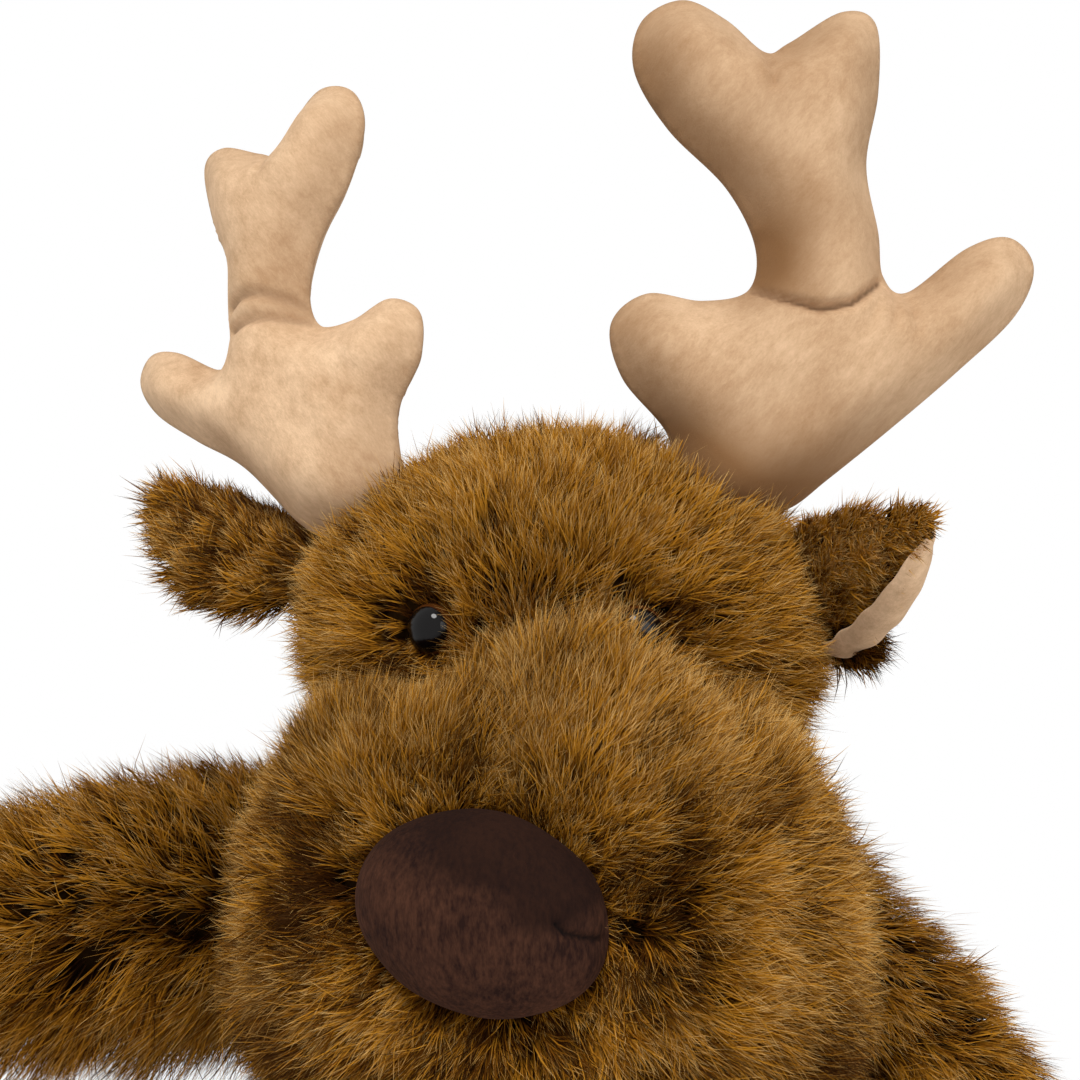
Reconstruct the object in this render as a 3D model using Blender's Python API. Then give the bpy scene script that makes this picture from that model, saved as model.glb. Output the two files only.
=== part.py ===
"""A seated plush deer, modelled at its real size in metres, +Z up.

The deer faces -Y and its left side is +X. The origin is on the floor under the
middle of the torso. Each sewn cover is a shell as thick as its backing and the
fur that stands on it, and each one holds its own stuffing. Head, arms, legs,
ears, antlers and tail are sewn on at rounded ends that turn in matching seats.
"""

import math

import bmesh
import bpy
from mathutils import Matrix, Vector
from mathutils.geometry import delaunay_2d_cdt

# Cloth, gaps and cuts
FUR_WALL = 0.010
VELOUR_WALL = 0.0024
SEAM_GAP = 0.0005
CORE_GAP = 0.0015
SEAT_CLEARANCE = 0.0020
CUT_OVERRUN = 0.060
SHARP_ANGLE = math.radians(50)
RIGHT_ANGLE = math.radians(90)

# Counts of sides and rings
FORM_SIDES = 22
LIMB_SIDES = 16
CORE_SIDES = 12
SEAT_SIDES = 18
SEAT_RINGS = 10
BALL_RINGS = 11
CORE_RINGS = 7
SMALL_SIDES = 12

# Torso
TORSO_HEIGHT = 0.300
TORSO_HALF_WIDTH = 0.118
TORSO_HALF_DEPTH = 0.112
TORSO_SETBACK = 0.012
TORSO_SHARES = (
    (0.00, 0.74, 0.72, 0.0),
    (0.05, 0.91, 0.90, 0.0),
    (0.18, 0.99, 0.99, 0.1),
    (0.34, 1.00, 1.00, 0.3),
    (0.50, 0.97, 0.89, 0.6),
    (0.66, 0.89, 0.73, 1.0),
    (0.82, 0.77, 0.61, 0.8),
    (0.94, 0.65, 0.54, 0.4),
    (1.00, 0.56, 0.50, 0.2),
)
TUMMY_HALF_WIDTH = 0.062
TUMMY_HALF_HEIGHT = 0.072
TUMMY_HEIGHT = 0.152
PELLET_BAG_HEIGHT = 0.030
PELLET_BAG_SHARE = 0.78
PELLET_BAG_FOOT_SHARE = 0.80
PELLET_BAG_TOP_SHARE = 0.86
CORE_FOOT_SHARE = 0.93

# Neck
NECK_HEIGHT = 0.300
NECK_FORWARD = 0.012
NECK_RADIUS = 0.050

# Head
HEAD_HALF_WIDTH = 0.130
HEAD_HALF_DEPTH = 0.095
HEAD_HALF_HEIGHT = 0.096
HEAD_FORWARD = 0.080
HEAD_RISE = 0.107
HEAD_HEIGHT = NECK_HEIGHT + HEAD_RISE

# Muzzle, from its chin upwards
MUZZLE_DROP = 0.259
MUZZLE_BASE_HEIGHT = HEAD_HEIGHT - MUZZLE_DROP
MUZZLE_HEIGHT = 0.250
MUZZLE_HALF_WIDTH = 0.139
MUZZLE_FRONT_DEPTH = 0.095
MUZZLE_BACK_DEPTH = 0.065
MUZZLE_FORWARD = 0.150
MUZZLE_SHARES = (
    (0.02, 0.30, 0.24, 0.26),
    (0.07, 0.60, 0.49, 0.54),
    (0.17, 0.84, 0.74, 0.77),
    (0.31, 0.97, 0.92, 0.93),
    (0.465, 1.00, 1.00, 1.00),
    (0.63, 0.965, 1.00, 0.96),
    (0.79, 0.865, 0.89, 0.85),
    (0.91, 0.69, 0.68, 0.66),
    (0.98, 0.38, 0.38, 0.38),
)
MUZZLE_THROAT_RADIUS = 0.036

# Nose, sewn a little to one side
NOSE_HALF_WIDTH = 0.052
NOSE_HALF_HEIGHT = 0.040
NOSE_HALF_DEPTH = 0.031
NOSE_FORWARD = 0.237
NOSE_SHIFT = -0.007
NOSE_RISE_SHARE = 0.62
NOSE_HEIGHT = MUZZLE_BASE_HEIGHT + MUZZLE_HEIGHT * NOSE_RISE_SHARE
NOSE_ROLL = math.radians(14)

# Safety eyes
EYE_RADIUS = 0.012
EYE_DOME = 0.009
EYE_DOME_SHARES = ((0.25, 1.00), (0.62, 0.82), (0.90, 0.45))
EYE_HALF_SPACING = 0.0475
EYE_RISE = 0.013
EYE_HEIGHT = MUZZLE_BASE_HEIGHT + MUZZLE_HEIGHT + EYE_RISE
EYE_FORWARD = 0.160
EYE_TURN = math.radians(16)
EYE_SHANK_RADIUS = 0.0025
EYE_SHANK_LENGTH = 0.016
WASHER_RADIUS = 0.009
WASHER_THICKNESS = 0.002
WASHER_SETBACK = 0.007

# Arms, from the shoulder to the end of the hoof
ARM_RADIUS = 0.063
ARM_ROOT_RADIUS = 0.048
ARM_LENGTH = 0.245
ARM_HOOF_LENGTH = 0.058
ARM_SHARES = ((0.12, 0.81), (0.26, 0.93), (0.42, 1.00), (0.62, 1.00), (0.82, 0.93), (1.00, 0.84))
SHOULDER_HALF_SPACING = 0.100
SHOULDER_HEIGHT = 0.262
ARM_LEFT_DROP = math.radians(55)
ARM_LEFT_LEAN = math.radians(3)
ARM_RIGHT_DROP = math.radians(4.5)
ARM_RIGHT_LEAN = math.radians(20)

# Legs, from the hip to the end of the hoof
LEG_RADIUS = 0.062
LEG_ROOT_RADIUS = 0.050
LEG_LENGTH = 0.160
LEG_HOOF_LENGTH = 0.058
LEG_SHARES = ((0.18, 0.86), (0.38, 0.97), (0.60, 1.00), (0.80, 0.98), (1.00, 0.92))
HIP_HALF_SPACING = 0.086
HIP_FORWARD = 0.066
LEG_SPLAY = math.radians(30)
FLOOR_GAP = 0.0005

# Rounded root of a limb, as turns from its pole
ROOT_TURNS = (math.radians(25), math.radians(50), math.radians(75))

# Rounded end of a hoof, as shares of its length and of its radius at the seam
HOOF_SHARES = ((0.45, 0.98), (0.75, 0.82), (0.93, 0.50))

# Tail
TAIL_RADIUS = 0.029
TAIL_ROOT_RADIUS = 0.020
TAIL_LENGTH = 0.070
TAIL_SHARES = ((0.25, 0.84), (0.50, 1.00), (0.75, 0.86), (0.92, 0.52))
TAIL_HEIGHT = 0.062
TAIL_BACK = 0.118
TAIL_CLEARANCE = 0.004
TAIL_RISE = math.radians(38)

# Ears
EAR_LENGTH = 0.100
EAR_HALF_WIDTH = 0.033
EAR_CUP = 0.017
EAR_ROOT_DEPTH = 0.010
EAR_SEAT_RADIUS = 0.028
EAR_SEAT_HALF_LENGTH = 0.033
EAR_SHARES = (
    (0.00, 0.38),
    (0.12, 0.50),
    (0.28, 0.82),
    (0.45, 1.00),
    (0.62, 0.96),
    (0.80, 0.70),
    (0.93, 0.38),
    (1.00, 0.16),
)
EAR_COLUMN_SHARES = (-1.0, -0.8, -0.4, 0.0, 0.4, 0.8, 1.0)
EAR_EDGE_SHARE = 0.40

# Ends of the ears, as shares of half the head from its middle, and which way they open
EAR_LEFT_ROOT_SHARES = Vector((0.915, -0.126, 0.219))
EAR_LEFT_TIP_SHARES = Vector((1.372, -0.946, 0.427))
EAR_LEFT_OPENING_SHARES = Vector((0.70, 0.63, 0.35))
EAR_RIGHT_ROOT_SHARES = Vector((-0.950, 0.021, 0.281))
EAR_RIGHT_TIP_SHARES = Vector((-1.677, 0.168, 0.656))
EAR_RIGHT_OPENING_SHARES = Vector((-0.20, 0.45, -0.87))

# Antlers: the outline of one panel, as shares of its height, outward and upward from the pivot
ANTLER_LEFT_HEIGHT = 0.236
ANTLER_RIGHT_HEIGHT = 0.212
ANTLER_LEFT_STALK = 0.002
ANTLER_RIGHT_STALK = 0.018
ANTLER_FOOT_SHARE = 0.05
ANTLER_PUFF = 0.024
ANTLER_PUFF_WIDTH = 0.030
ANTLER_GRID = 0.0140
ANTLER_CORE_GRID = 0.028
ANTLER_SMOOTH_PASSES = 3
GRID_STAGGER_SHARES = (0.25, 0.75)
GRID_MARGIN_SHARE = 0.50
GRID_WELD_SHARE = 0.001
GRID_ROW_SHARE = math.sin(math.radians(60))
ANTLER_CORE_INSET = 0.0080
ANTLER_CORE_SHARE = 0.48
ANTLER_OUTLINE_SHARES = (
    (0.130, -0.060),
    (0.210, 0.000),
    (0.345, 0.100),
    (0.480, 0.215),
    (0.600, 0.330),
    (0.640, 0.430),
    (0.590, 0.492),
    (0.500, 0.470),
    (0.375, 0.378),
    (0.325, 0.410),
    (0.315, 0.500),
    (0.290, 0.640),
    (0.315, 0.790),
    (0.310, 0.930),
    (0.240, 0.955),
    (0.130, 0.890),
    (0.080, 0.870),
    (0.000, 0.935),
    (-0.090, 0.975),
    (-0.175, 0.930),
    (-0.190, 0.830),
    (-0.120, 0.710),
    (0.000, 0.590),
    (0.060, 0.470),
    (0.045, 0.380),
    (-0.050, 0.358),
    (-0.165, 0.372),
    (-0.238, 0.310),
    (-0.215, 0.200),
    (-0.125, 0.090),
    (-0.105, 0.010),
    (-0.075, -0.066),
    (0.030, -0.088),
)
ANTLER_SEAT_ROOM = 0.0105
ANTLER_SEAT_SHARE = 1.35
ANTLER_FORWARD = 0.102
ANTLER_ROOT_LIFT = 0.005
ANTLER_LEFT_SPACING = 0.0846
ANTLER_RIGHT_SPACING = 0.0957
ANTLER_LEFT_TURN = math.radians(12)
ANTLER_RIGHT_TURN = math.radians(18)
ANTLER_LEFT_LEAN = math.radians(0)
ANTLER_RIGHT_LEAN = math.radians(5)
ANTLER_LEFT_TILT = math.radians(0)
ANTLER_RIGHT_TILT = math.radians(16)

FORWARD = Vector((0.0, -1.0, 0.0))
UP = Vector((0.0, 0.0, 1.0))


def clear_scene():
    """Remove what the file opened with."""
    for thing in list(bpy.data.objects):
        bpy.data.objects.remove(thing, do_unlink=True)


def finish(name, colour, roughness):
    """A Principled material of one colour."""
    material = bpy.data.materials.new(name)
    material.use_nodes = True
    shader = material.node_tree.nodes["Principled BSDF"]
    shader.inputs["Base Color"].default_value = (*colour, 1.0)
    shader.inputs["Roughness"].default_value = roughness
    shader.inputs["Metallic"].default_value = 0.0
    material.diffuse_color = (*colour, 1.0)
    return material


def object_from(mesh, name, material):
    """Write a bmesh out as one smooth-shaded object with its faces outward."""
    bmesh.ops.recalc_face_normals(mesh, faces=mesh.faces)
    data = bpy.data.meshes.new(name)
    mesh.to_mesh(data)
    mesh.free()
    data.shade_smooth()
    data.set_sharp_from_angle(angle=SHARP_ANGLE)
    data.materials.append(material)
    thing = bpy.data.objects.new(name, data)
    bpy.context.collection.objects.link(thing)
    return thing


def guide(thing):
    """Mark an object as a cutter that isn't part of the deer."""
    thing.hide_render = True
    thing.display_type = "WIRE"
    return thing


def cut(thing, cutter, operation="DIFFERENCE"):
    """Add an exact Boolean of the cutter to the object."""
    modifier = thing.modifiers.new(cutter.name, "BOOLEAN")
    modifier.operation = operation
    modifier.solver = "EXACT"
    modifier.object = cutter
    return thing


def pivot(name, place, turn=None):
    """An empty on a joint's axis, which carries the pieces that turn there."""
    empty = bpy.data.objects.new(name, None)
    matrix = Matrix.Translation(place)
    if turn is not None:
        matrix = matrix @ turn.to_4x4()
    empty.matrix_world = matrix
    bpy.context.collection.objects.link(empty)
    return empty


def carry(thing, empty):
    """Hang a piece that was modelled in the deer's frame on an empty, where it is."""
    thing.data.transform(empty.matrix_world.inverted())
    thing.parent = empty
    return thing


def hang(thing, empty):
    """Hang a piece that was modelled in the empty's own frame."""
    thing.parent = empty
    return thing


def ball_rings(centre, half_width, half_depth, half_height, count):
    """Rings of an egg or ball: height, half width, front and back depth, and place along Y."""
    rings = []
    for index in range(1, count):
        angle = math.pi * index / count
        reach = math.sin(angle)
        height = centre.z - half_height * math.cos(angle)
        rings.append((height, half_width * reach, half_depth * reach, half_depth * reach, centre.y))
    return rings


def ring_vertices(mesh, ring, sides):
    """One oval ring of vertices, wider or narrower in front than behind."""
    height, half_width, front, back, place = ring
    vertices = []
    for index in range(sides):
        angle = math.tau * (index + 0.5) / sides
        reach = back if math.sin(angle) > 0.0 else front
        corner = (half_width * math.cos(angle), place + reach * math.sin(angle), height)
        vertices.append(mesh.verts.new(corner))
    return vertices


def join_rings(mesh, lower, upper):
    """Faces between two rings with the same number of vertices."""
    for index in range(len(lower)):
        following = (index + 1) % len(lower)
        mesh.faces.new((lower[index], lower[following], upper[following], upper[index]))


def close_ring(mesh, ring, pole):
    """Close a ring with a flat face, or with a fan to a pole where one is given."""
    if pole is None:
        mesh.faces.new(ring)
        return
    tip = mesh.verts.new(pole)
    for index in range(len(ring)):
        mesh.faces.new((ring[index], ring[(index + 1) % len(ring)], tip))


def loft(name, rings, sides, material, poles=(None, None)):
    """A closed form through a stack of oval rings."""
    mesh = bmesh.new()
    stack = [ring_vertices(mesh, ring, sides) for ring in rings]
    for lower, upper in zip(stack, stack[1:]):
        join_rings(mesh, lower, upper)
    close_ring(mesh, stack[0], poles[0])
    close_ring(mesh, stack[-1], poles[1])
    return object_from(mesh, name, material)


def ball(name, centre, half_sizes, sides, count, material):
    """A ball or egg with its poles above and below."""
    half_width, half_depth, half_height = half_sizes
    rings = ball_rings(centre, half_width, half_depth, half_height, count)
    poles = (
        (0.0, centre.y, centre.z - half_height),
        (0.0, centre.y, centre.z + half_height),
    )
    thing = loft(name, rings, sides, material, poles)
    thing.data.transform(Matrix.Translation((centre.x, 0.0, 0.0)))
    return thing


def post(name, radius, low, high, sides, material, matrix=None):
    """A straight round bar along Z, or along the Z axis of a matrix."""
    rings = [(low, radius, radius, radius, 0.0), (high, radius, radius, radius, 0.0)]
    thing = loft(name, rings, sides, material)
    if matrix is not None:
        thing.data.transform(matrix)
    return thing


def aimed(direction, across):
    """Axes with Z along a direction and X as near as can be to another."""
    length_axis = direction.normalized()
    depth_axis = length_axis.cross(across).normalized()
    width_axis = depth_axis.cross(length_axis).normalized()
    return Matrix((width_axis, depth_axis, length_axis)).transposed()


def torso_rings(shrink):
    """The torso's rings, drawn in by a wall or a gap."""
    rings = []
    for height, width, depth, back in TORSO_SHARES:
        lifted = min(max(TORSO_HEIGHT * height, shrink), TORSO_HEIGHT - shrink)
        half_depth = TORSO_HALF_DEPTH * depth - shrink
        half_width = TORSO_HALF_WIDTH * width - shrink
        rings.append((lifted, half_width, half_depth, half_depth, TORSO_SETBACK * back))
    return [rings[0]] + [late for early, late in zip(rings, rings[1:]) if late[0] > early[0]]


def muzzle_form(name, shrink, sides, material):
    """The muzzle as one closed form, drawn in by a wall, or grown by a negative one."""
    rings = []
    span = MUZZLE_HEIGHT - 2.0 * shrink
    base = MUZZLE_BASE_HEIGHT + shrink
    for height, width, front, back in MUZZLE_SHARES:
        half_width = MUZZLE_HALF_WIDTH * width - shrink
        front_depth = MUZZLE_FRONT_DEPTH * front - shrink
        back_depth = MUZZLE_BACK_DEPTH * back - shrink
        rings.append((base + span * height, half_width, front_depth, back_depth, -MUZZLE_FORWARD))
    poles = ((0.0, -MUZZLE_FORWARD, base), (0.0, -MUZZLE_FORWARD, base + span))
    return loft(name, rings, sides, material, poles)


def limb_profile(root_radius, radius, length, shares, shrink):
    """Places and radii along a limb, from its round root to its open end."""
    profile = []
    reach = root_radius - shrink
    for angle in ROOT_TURNS:
        profile.append((-reach * math.cos(angle), reach * math.sin(angle)))
    for along, share in shares:
        profile.append((length * along, radius * share - shrink))
    return profile


def hoof_profile(radius, length, hoof_length, share, shrink):
    """Places and radii from the hoof's seam to its round end."""
    profile = [(length, radius * share - shrink)]
    for along, width in HOOF_SHARES:
        profile.append((length + (hoof_length - shrink) * along, (radius * share - shrink) * width))
    return profile


def turned(name, profile, sides, material, poles):
    """A form turned about Z from places and radii."""
    rings = [(place, radius, radius, radius, 0.0) for place, radius in profile]
    tips = tuple(None if pole is None else (0.0, 0.0, pole) for pole in poles)
    return loft(name, rings, sides, material, tips)


def cup(name, outer, inner, sides, material, outer_pole, inner_pole):
    """A shell open at one end: an outer and an inner skin joined at their first rings."""
    mesh = bmesh.new()
    outside = [ring_vertices(mesh, (place, radius, radius, radius, 0.0), sides) for place, radius in outer]
    inside = [ring_vertices(mesh, (place, radius, radius, radius, 0.0), sides) for place, radius in inner]
    for lower, upper in zip(outside, outside[1:]):
        join_rings(mesh, lower, upper)
    for lower, upper in zip(inside, inside[1:]):
        join_rings(mesh, lower, upper)
    join_rings(mesh, outside[0], inside[0])
    close_ring(mesh, outside[-1], (0.0, 0.0, outer_pole))
    close_ring(mesh, inside[-1], (0.0, 0.0, inner_pole))
    return object_from(mesh, name, material)


def limb(side, kind, empty, sizes, finishes):
    """A stuffed limb: fur cover, velour hoof cup and the stuffing that fills both."""
    root_radius, radius, length, hoof_length, shares = sizes
    end_share = shares[-1][1]
    name = f"{kind}_{side}"
    outer = limb_profile(root_radius, radius, length - SEAM_GAP / 2.0, shares, 0.0)
    inner = limb_profile(root_radius, radius, length - SEAM_GAP / 2.0, shares, FUR_WALL)
    skin = cup(
        f"{name}_skin",
        outer[::-1],
        inner[::-1],
        LIMB_SIDES,
        finishes["fur"],
        -root_radius,
        FUR_WALL - root_radius,
    )
    hang(skin, empty)
    hoof_outer = hoof_profile(radius, length + SEAM_GAP / 2.0, hoof_length, end_share, 0.0)
    hoof_inner = hoof_profile(radius, length + SEAM_GAP / 2.0, hoof_length, end_share, VELOUR_WALL)
    tip = length + hoof_length
    hoof = cup(
        f"{name}_hoof",
        hoof_outer,
        hoof_inner,
        LIMB_SIDES,
        finishes["velour"],
        tip,
        tip - VELOUR_WALL,
    )
    hang(hoof, empty)
    fill = FUR_WALL + CORE_GAP
    core = limb_profile(root_radius, radius, length, shares, fill)
    core += hoof_profile(radius, length, hoof_length, end_share, fill)[1:]
    stuffing = turned(
        f"{name}_stuffing",
        core,
        CORE_SIDES,
        finishes["stuffing"],
        (fill - root_radius, tip - fill),
    )
    hang(stuffing, empty)
    seat = limb_profile(root_radius, radius, length, shares, -SEAT_CLEARANCE)
    tips = (-root_radius - SEAT_CLEARANCE, None)
    seat_cutter = turned(f"seat_{name}", seat, SEAT_SIDES, finishes["stuffing"], tips)
    hang(seat_cutter, empty)
    return guide(seat_cutter)


def round_seat(name, centre, radius, finishes):
    """A round cutter that leaves a seat for a ball to turn in."""
    reach = radius + SEAT_CLEARANCE
    return guide(ball(name, centre, (reach, reach, reach), SEAT_SIDES, SEAT_RINGS, finishes["stuffing"]))


def torso(seats, finishes):
    """The torso: its fur cover, velour tummy, stuffing and the bag of pellets it sits on."""
    skin = loft("torso_skin", torso_rings(0.0), FORM_SIDES, finishes["fur"])
    hollow_rings = torso_rings(FUR_WALL)
    top = hollow_rings[-1]
    hollow_rings.append((TORSO_HEIGHT + CUT_OVERRUN, top[1], top[2], top[3], top[4]))
    hollow = guide(loft("torso_hollow", hollow_rings, CORE_SIDES, finishes["stuffing"]))
    reach = TORSO_HALF_DEPTH + CUT_OVERRUN
    forward = Matrix.Translation((0.0, 0.0, TUMMY_HEIGHT)) @ Matrix.Rotation(RIGHT_ANGLE, 4, "X")
    narrow = TUMMY_HALF_WIDTH / TUMMY_HALF_HEIGHT
    opening = post("tummy_opening", TUMMY_HALF_HEIGHT, 0.0, reach, FORM_SIDES, finishes["fur"], forward)
    opening.data.transform(Matrix.Diagonal((narrow, 1.0, 1.0, 1.0)))
    guide(opening)
    cut(skin, hollow)
    cut(skin, opening)
    trimmed = TUMMY_HALF_HEIGHT - SEAM_GAP
    panel = post("tummy_panel", trimmed, 0.0, reach, FORM_SIDES, finishes["velour"], forward)
    panel.data.transform(Matrix.Diagonal((narrow, 1.0, 1.0, 1.0)))
    outside = guide(loft("torso_outside", torso_rings(0.0), FORM_SIDES, finishes["fur"]))
    cut(panel, outside, "INTERSECT")
    cut(panel, hollow)
    fill = FUR_WALL + CORE_GAP
    bag_top = fill + PELLET_BAG_HEIGHT
    core_rings = [ring for ring in torso_rings(fill) if ring[0] > bag_top]
    first = core_rings[0]
    foot = CORE_FOOT_SHARE
    lowest = (bag_top + SEAM_GAP, first[1] * foot, first[2] * foot, first[3] * foot, first[4])
    stuffing = loft("torso_stuffing", [lowest] + core_rings, CORE_SIDES, finishes["stuffing"])
    half_width = TORSO_HALF_WIDTH * PELLET_BAG_SHARE - fill
    half_depth = TORSO_HALF_DEPTH * PELLET_BAG_SHARE - fill
    middle = fill + PELLET_BAG_HEIGHT / 2.0
    bag_rings = []
    for height, share in ((fill, PELLET_BAG_FOOT_SHARE), (middle, 1.0), (bag_top, PELLET_BAG_TOP_SHARE)):
        bag_rings.append((height, half_width * share, half_depth * share, half_depth * share, 0.0))
    bag = loft("pellet_bag", bag_rings, CORE_SIDES, finishes["pellets"])
    for seat in seats:
        cut(skin, seat)
        cut(stuffing, seat)
        cut(bag, seat)
    return skin


def head(neck, seats, finishes):
    """The head: its fur cover and stuffing, open at the muzzle and at the neck."""
    centre = Vector((0.0, -HEAD_FORWARD, HEAD_HEIGHT))
    halves = (HEAD_HALF_WIDTH, HEAD_HALF_DEPTH, HEAD_HALF_HEIGHT)
    skin = ball("head_skin", centre, halves, FORM_SIDES, BALL_RINGS, finishes["fur"])
    inner = tuple(half - FUR_WALL for half in halves)
    hollow = guide(ball("head_hollow", centre, inner, CORE_SIDES, CORE_RINGS, finishes["stuffing"]))
    filled = tuple(half - FUR_WALL - CORE_GAP for half in halves)
    stuffing = ball("head_stuffing", centre, filled, CORE_SIDES, CORE_RINGS, finishes["stuffing"])
    muzzle_seat = guide(muzzle_form("muzzle_seat", -SEAM_GAP, FORM_SIDES, finishes["fur"]))
    cut(skin, hollow)
    for thing in (skin, stuffing):
        cut(thing, muzzle_seat)
        for seat in seats:
            cut(thing, seat)
    for thing in (skin, stuffing, hollow, muzzle_seat):
        carry(thing, neck)
    return skin, stuffing


def muzzle(neck, finishes):
    """The muzzle: a full-cheeked cover with its own stuffing, open to the head behind its top."""
    skin = muzzle_form("muzzle_skin", 0.0, FORM_SIDES, finishes["fur"])
    hollow = guide(muzzle_form("muzzle_hollow", FUR_WALL, CORE_SIDES, finishes["stuffing"]))
    stuffing = muzzle_form("muzzle_stuffing", FUR_WALL + CORE_GAP, CORE_SIDES, finishes["stuffing"])
    start = Vector((0.0, -MUZZLE_FORWARD, MUZZLE_BASE_HEIGHT + MUZZLE_HEIGHT / 2.0))
    towards_head = Vector((0.0, -HEAD_FORWARD, HEAD_HEIGHT)) - start
    matrix = Matrix.Translation(start) @ aimed(towards_head, Vector((1.0, 0.0, 0.0))).to_4x4()
    throat = post(
        "muzzle_throat",
        MUZZLE_THROAT_RADIUS,
        0.0,
        MUZZLE_HEIGHT / 2.0 + CUT_OVERRUN,
        CORE_SIDES,
        finishes["stuffing"],
        matrix,
    )
    guide(throat)
    cut(skin, hollow)
    cut(skin, throat)
    for thing in (skin, hollow, stuffing, throat):
        carry(thing, neck)
    return skin


def nose(neck, finishes):
    """The nose: a velour cover over its stuffing, seated on the muzzle."""
    centre = Vector((NOSE_SHIFT, -NOSE_FORWARD, NOSE_HEIGHT))
    roll = (
        Matrix.Translation(centre)
        @ Matrix.Rotation(NOSE_ROLL, 4, "Y")
        @ Matrix.Translation(-centre)
    )
    halves = (NOSE_HALF_WIDTH, NOSE_HALF_DEPTH, NOSE_HALF_HEIGHT)
    cover = ball("nose_cover", centre, halves, LIMB_SIDES, SEAT_RINGS, finishes["nose"])
    inner = tuple(half - VELOUR_WALL for half in halves)
    hollow = guide(ball("nose_hollow", centre, inner, LIMB_SIDES, SEAT_RINGS, finishes["stuffing"]))
    filled = tuple(half - VELOUR_WALL - CORE_GAP for half in halves)
    stuffing = ball("nose_stuffing", centre, filled, CORE_SIDES, CORE_RINGS, finishes["stuffing"])
    seat = guide(muzzle_form("nose_seat", -SEAM_GAP, FORM_SIDES, finishes["fur"]))
    for thing in (cover, hollow, stuffing):
        thing.data.transform(roll)
        carry(thing, neck)
    carry(seat, neck)
    cut(cover, hollow)
    cut(cover, seat)
    cut(stuffing, seat)


def eyes(neck, finishes):
    """Safety eyes: a dome on a shank, held from inside by a washer. Returns their pockets."""
    pockets = []
    for side, name in ((1.0, "left"), (-1.0, "right")):
        facing = Vector((side * math.sin(EYE_TURN), -math.cos(EYE_TURN), 0.0))
        place = Vector((side * EYE_HALF_SPACING, -EYE_FORWARD, EYE_HEIGHT))
        matrix = Matrix.Translation(place) @ aimed(facing, UP).to_4x4()
        profile = [
            (-EYE_SHANK_LENGTH, EYE_SHANK_RADIUS),
            (0.0, EYE_SHANK_RADIUS),
            (0.0, EYE_RADIUS),
        ]
        profile += [(EYE_DOME * rise, EYE_RADIUS * share) for rise, share in EYE_DOME_SHARES]
        eye = turned(f"eye_{name}", profile, SMALL_SIDES, finishes["eye"], (None, EYE_DOME))
        eye.data.transform(matrix)
        back = -WASHER_SETBACK - WASHER_THICKNESS
        washer = post(
            f"eye_washer_{name}", WASHER_RADIUS, back, -WASHER_SETBACK, SMALL_SIDES, finishes["washer"], matrix
        )
        bore_radius = EYE_SHANK_RADIUS + SEAM_GAP
        bore = post(
            f"eye_bore_{name}",
            bore_radius,
            -EYE_SHANK_LENGTH - SEAM_GAP,
            CUT_OVERRUN,
            SMALL_SIDES,
            finishes["washer"],
            matrix,
        )
        guide(bore)
        cut(washer, bore)
        socket = post(
            f"eye_socket_{name}",
            EYE_RADIUS + SEAM_GAP,
            -SEAM_GAP,
            CUT_OVERRUN,
            SMALL_SIDES,
            finishes["washer"],
            matrix,
        )
        guide(socket)
        room = post(
            f"washer_room_{name}",
            WASHER_RADIUS + SEAM_GAP,
            back - SEAM_GAP,
            SEAM_GAP - WASHER_SETBACK,
            SMALL_SIDES,
            finishes["washer"],
            matrix,
        )
        guide(room)
        pockets += [bore, socket, room]
        for thing in (eye, washer, bore, socket, room):
            carry(thing, neck)
    return pockets


def ear_point(along, across, lift):
    """A point of the ear in its own frame: Z along it, X across it, -Y into its opening."""
    half_width = along[1] * EAR_HALF_WIDTH
    depth = -EAR_CUP * along[1] * across * across
    height = (EAR_LENGTH + EAR_ROOT_DEPTH) * along[0] - EAR_ROOT_DEPTH
    return Vector((half_width * across, depth + lift, height))


def leaf(name, rows, columns, near, far, material):
    """A closed leaf between two lifts of the ear's curved surface, each with a crown at its middle."""
    mesh = bmesh.new()
    sheets = []
    for lift, crown in (near, far):
        sheet = []
        for row in rows:
            points = [ear_point(row, share, lift + crown * (1.0 - share * share)) for share in columns]
            sheet.append([mesh.verts.new(point) for point in points])
        sheets.append(sheet)
    for sheet in sheets:
        for lower, upper in zip(sheet, sheet[1:]):
            for index in range(len(columns) - 1):
                mesh.faces.new((lower[index], lower[index + 1], upper[index + 1], upper[index]))
    edges = []
    for sheet in sheets:
        right_side = [row[-1] for row in sheet]
        left_side = [row[0] for row in sheet]
        edges.append(sheet[0] + right_side[1:] + sheet[-1][::-1][1:] + left_side[::-1][1:-1])
    join_rings(mesh, edges[0], edges[1])
    return object_from(mesh, name, material)


def ear(side, empty, finishes):
    """An ear: a furred back and a velour lining. Returns the cutter for its seat."""
    skin_side = (0.0, 0.0)
    fur_side = (FUR_WALL * EAR_EDGE_SHARE, FUR_WALL * (1.0 - EAR_EDGE_SHARE))
    back = leaf(f"ear_{side}_back", EAR_SHARES, EAR_COLUMN_SHARES, skin_side, fur_side, finishes["fur"])
    lining = leaf(
        f"ear_{side}_lining",
        EAR_SHARES[1:-1],
        EAR_COLUMN_SHARES[1:-1],
        (-SEAM_GAP - VELOUR_WALL, 0.0),
        (-SEAM_GAP, 0.0),
        finishes["velour"],
    )
    across = Matrix.Rotation(RIGHT_ANGLE, 4, "Y")
    length = EAR_SEAT_HALF_LENGTH
    seat = post(f"seat_ear_{side}", EAR_SEAT_RADIUS, -length, length, SMALL_SIDES, finishes["fur"], across)
    for thing in (back, lining, seat):
        hang(thing, empty)
    return guide(seat)


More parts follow.
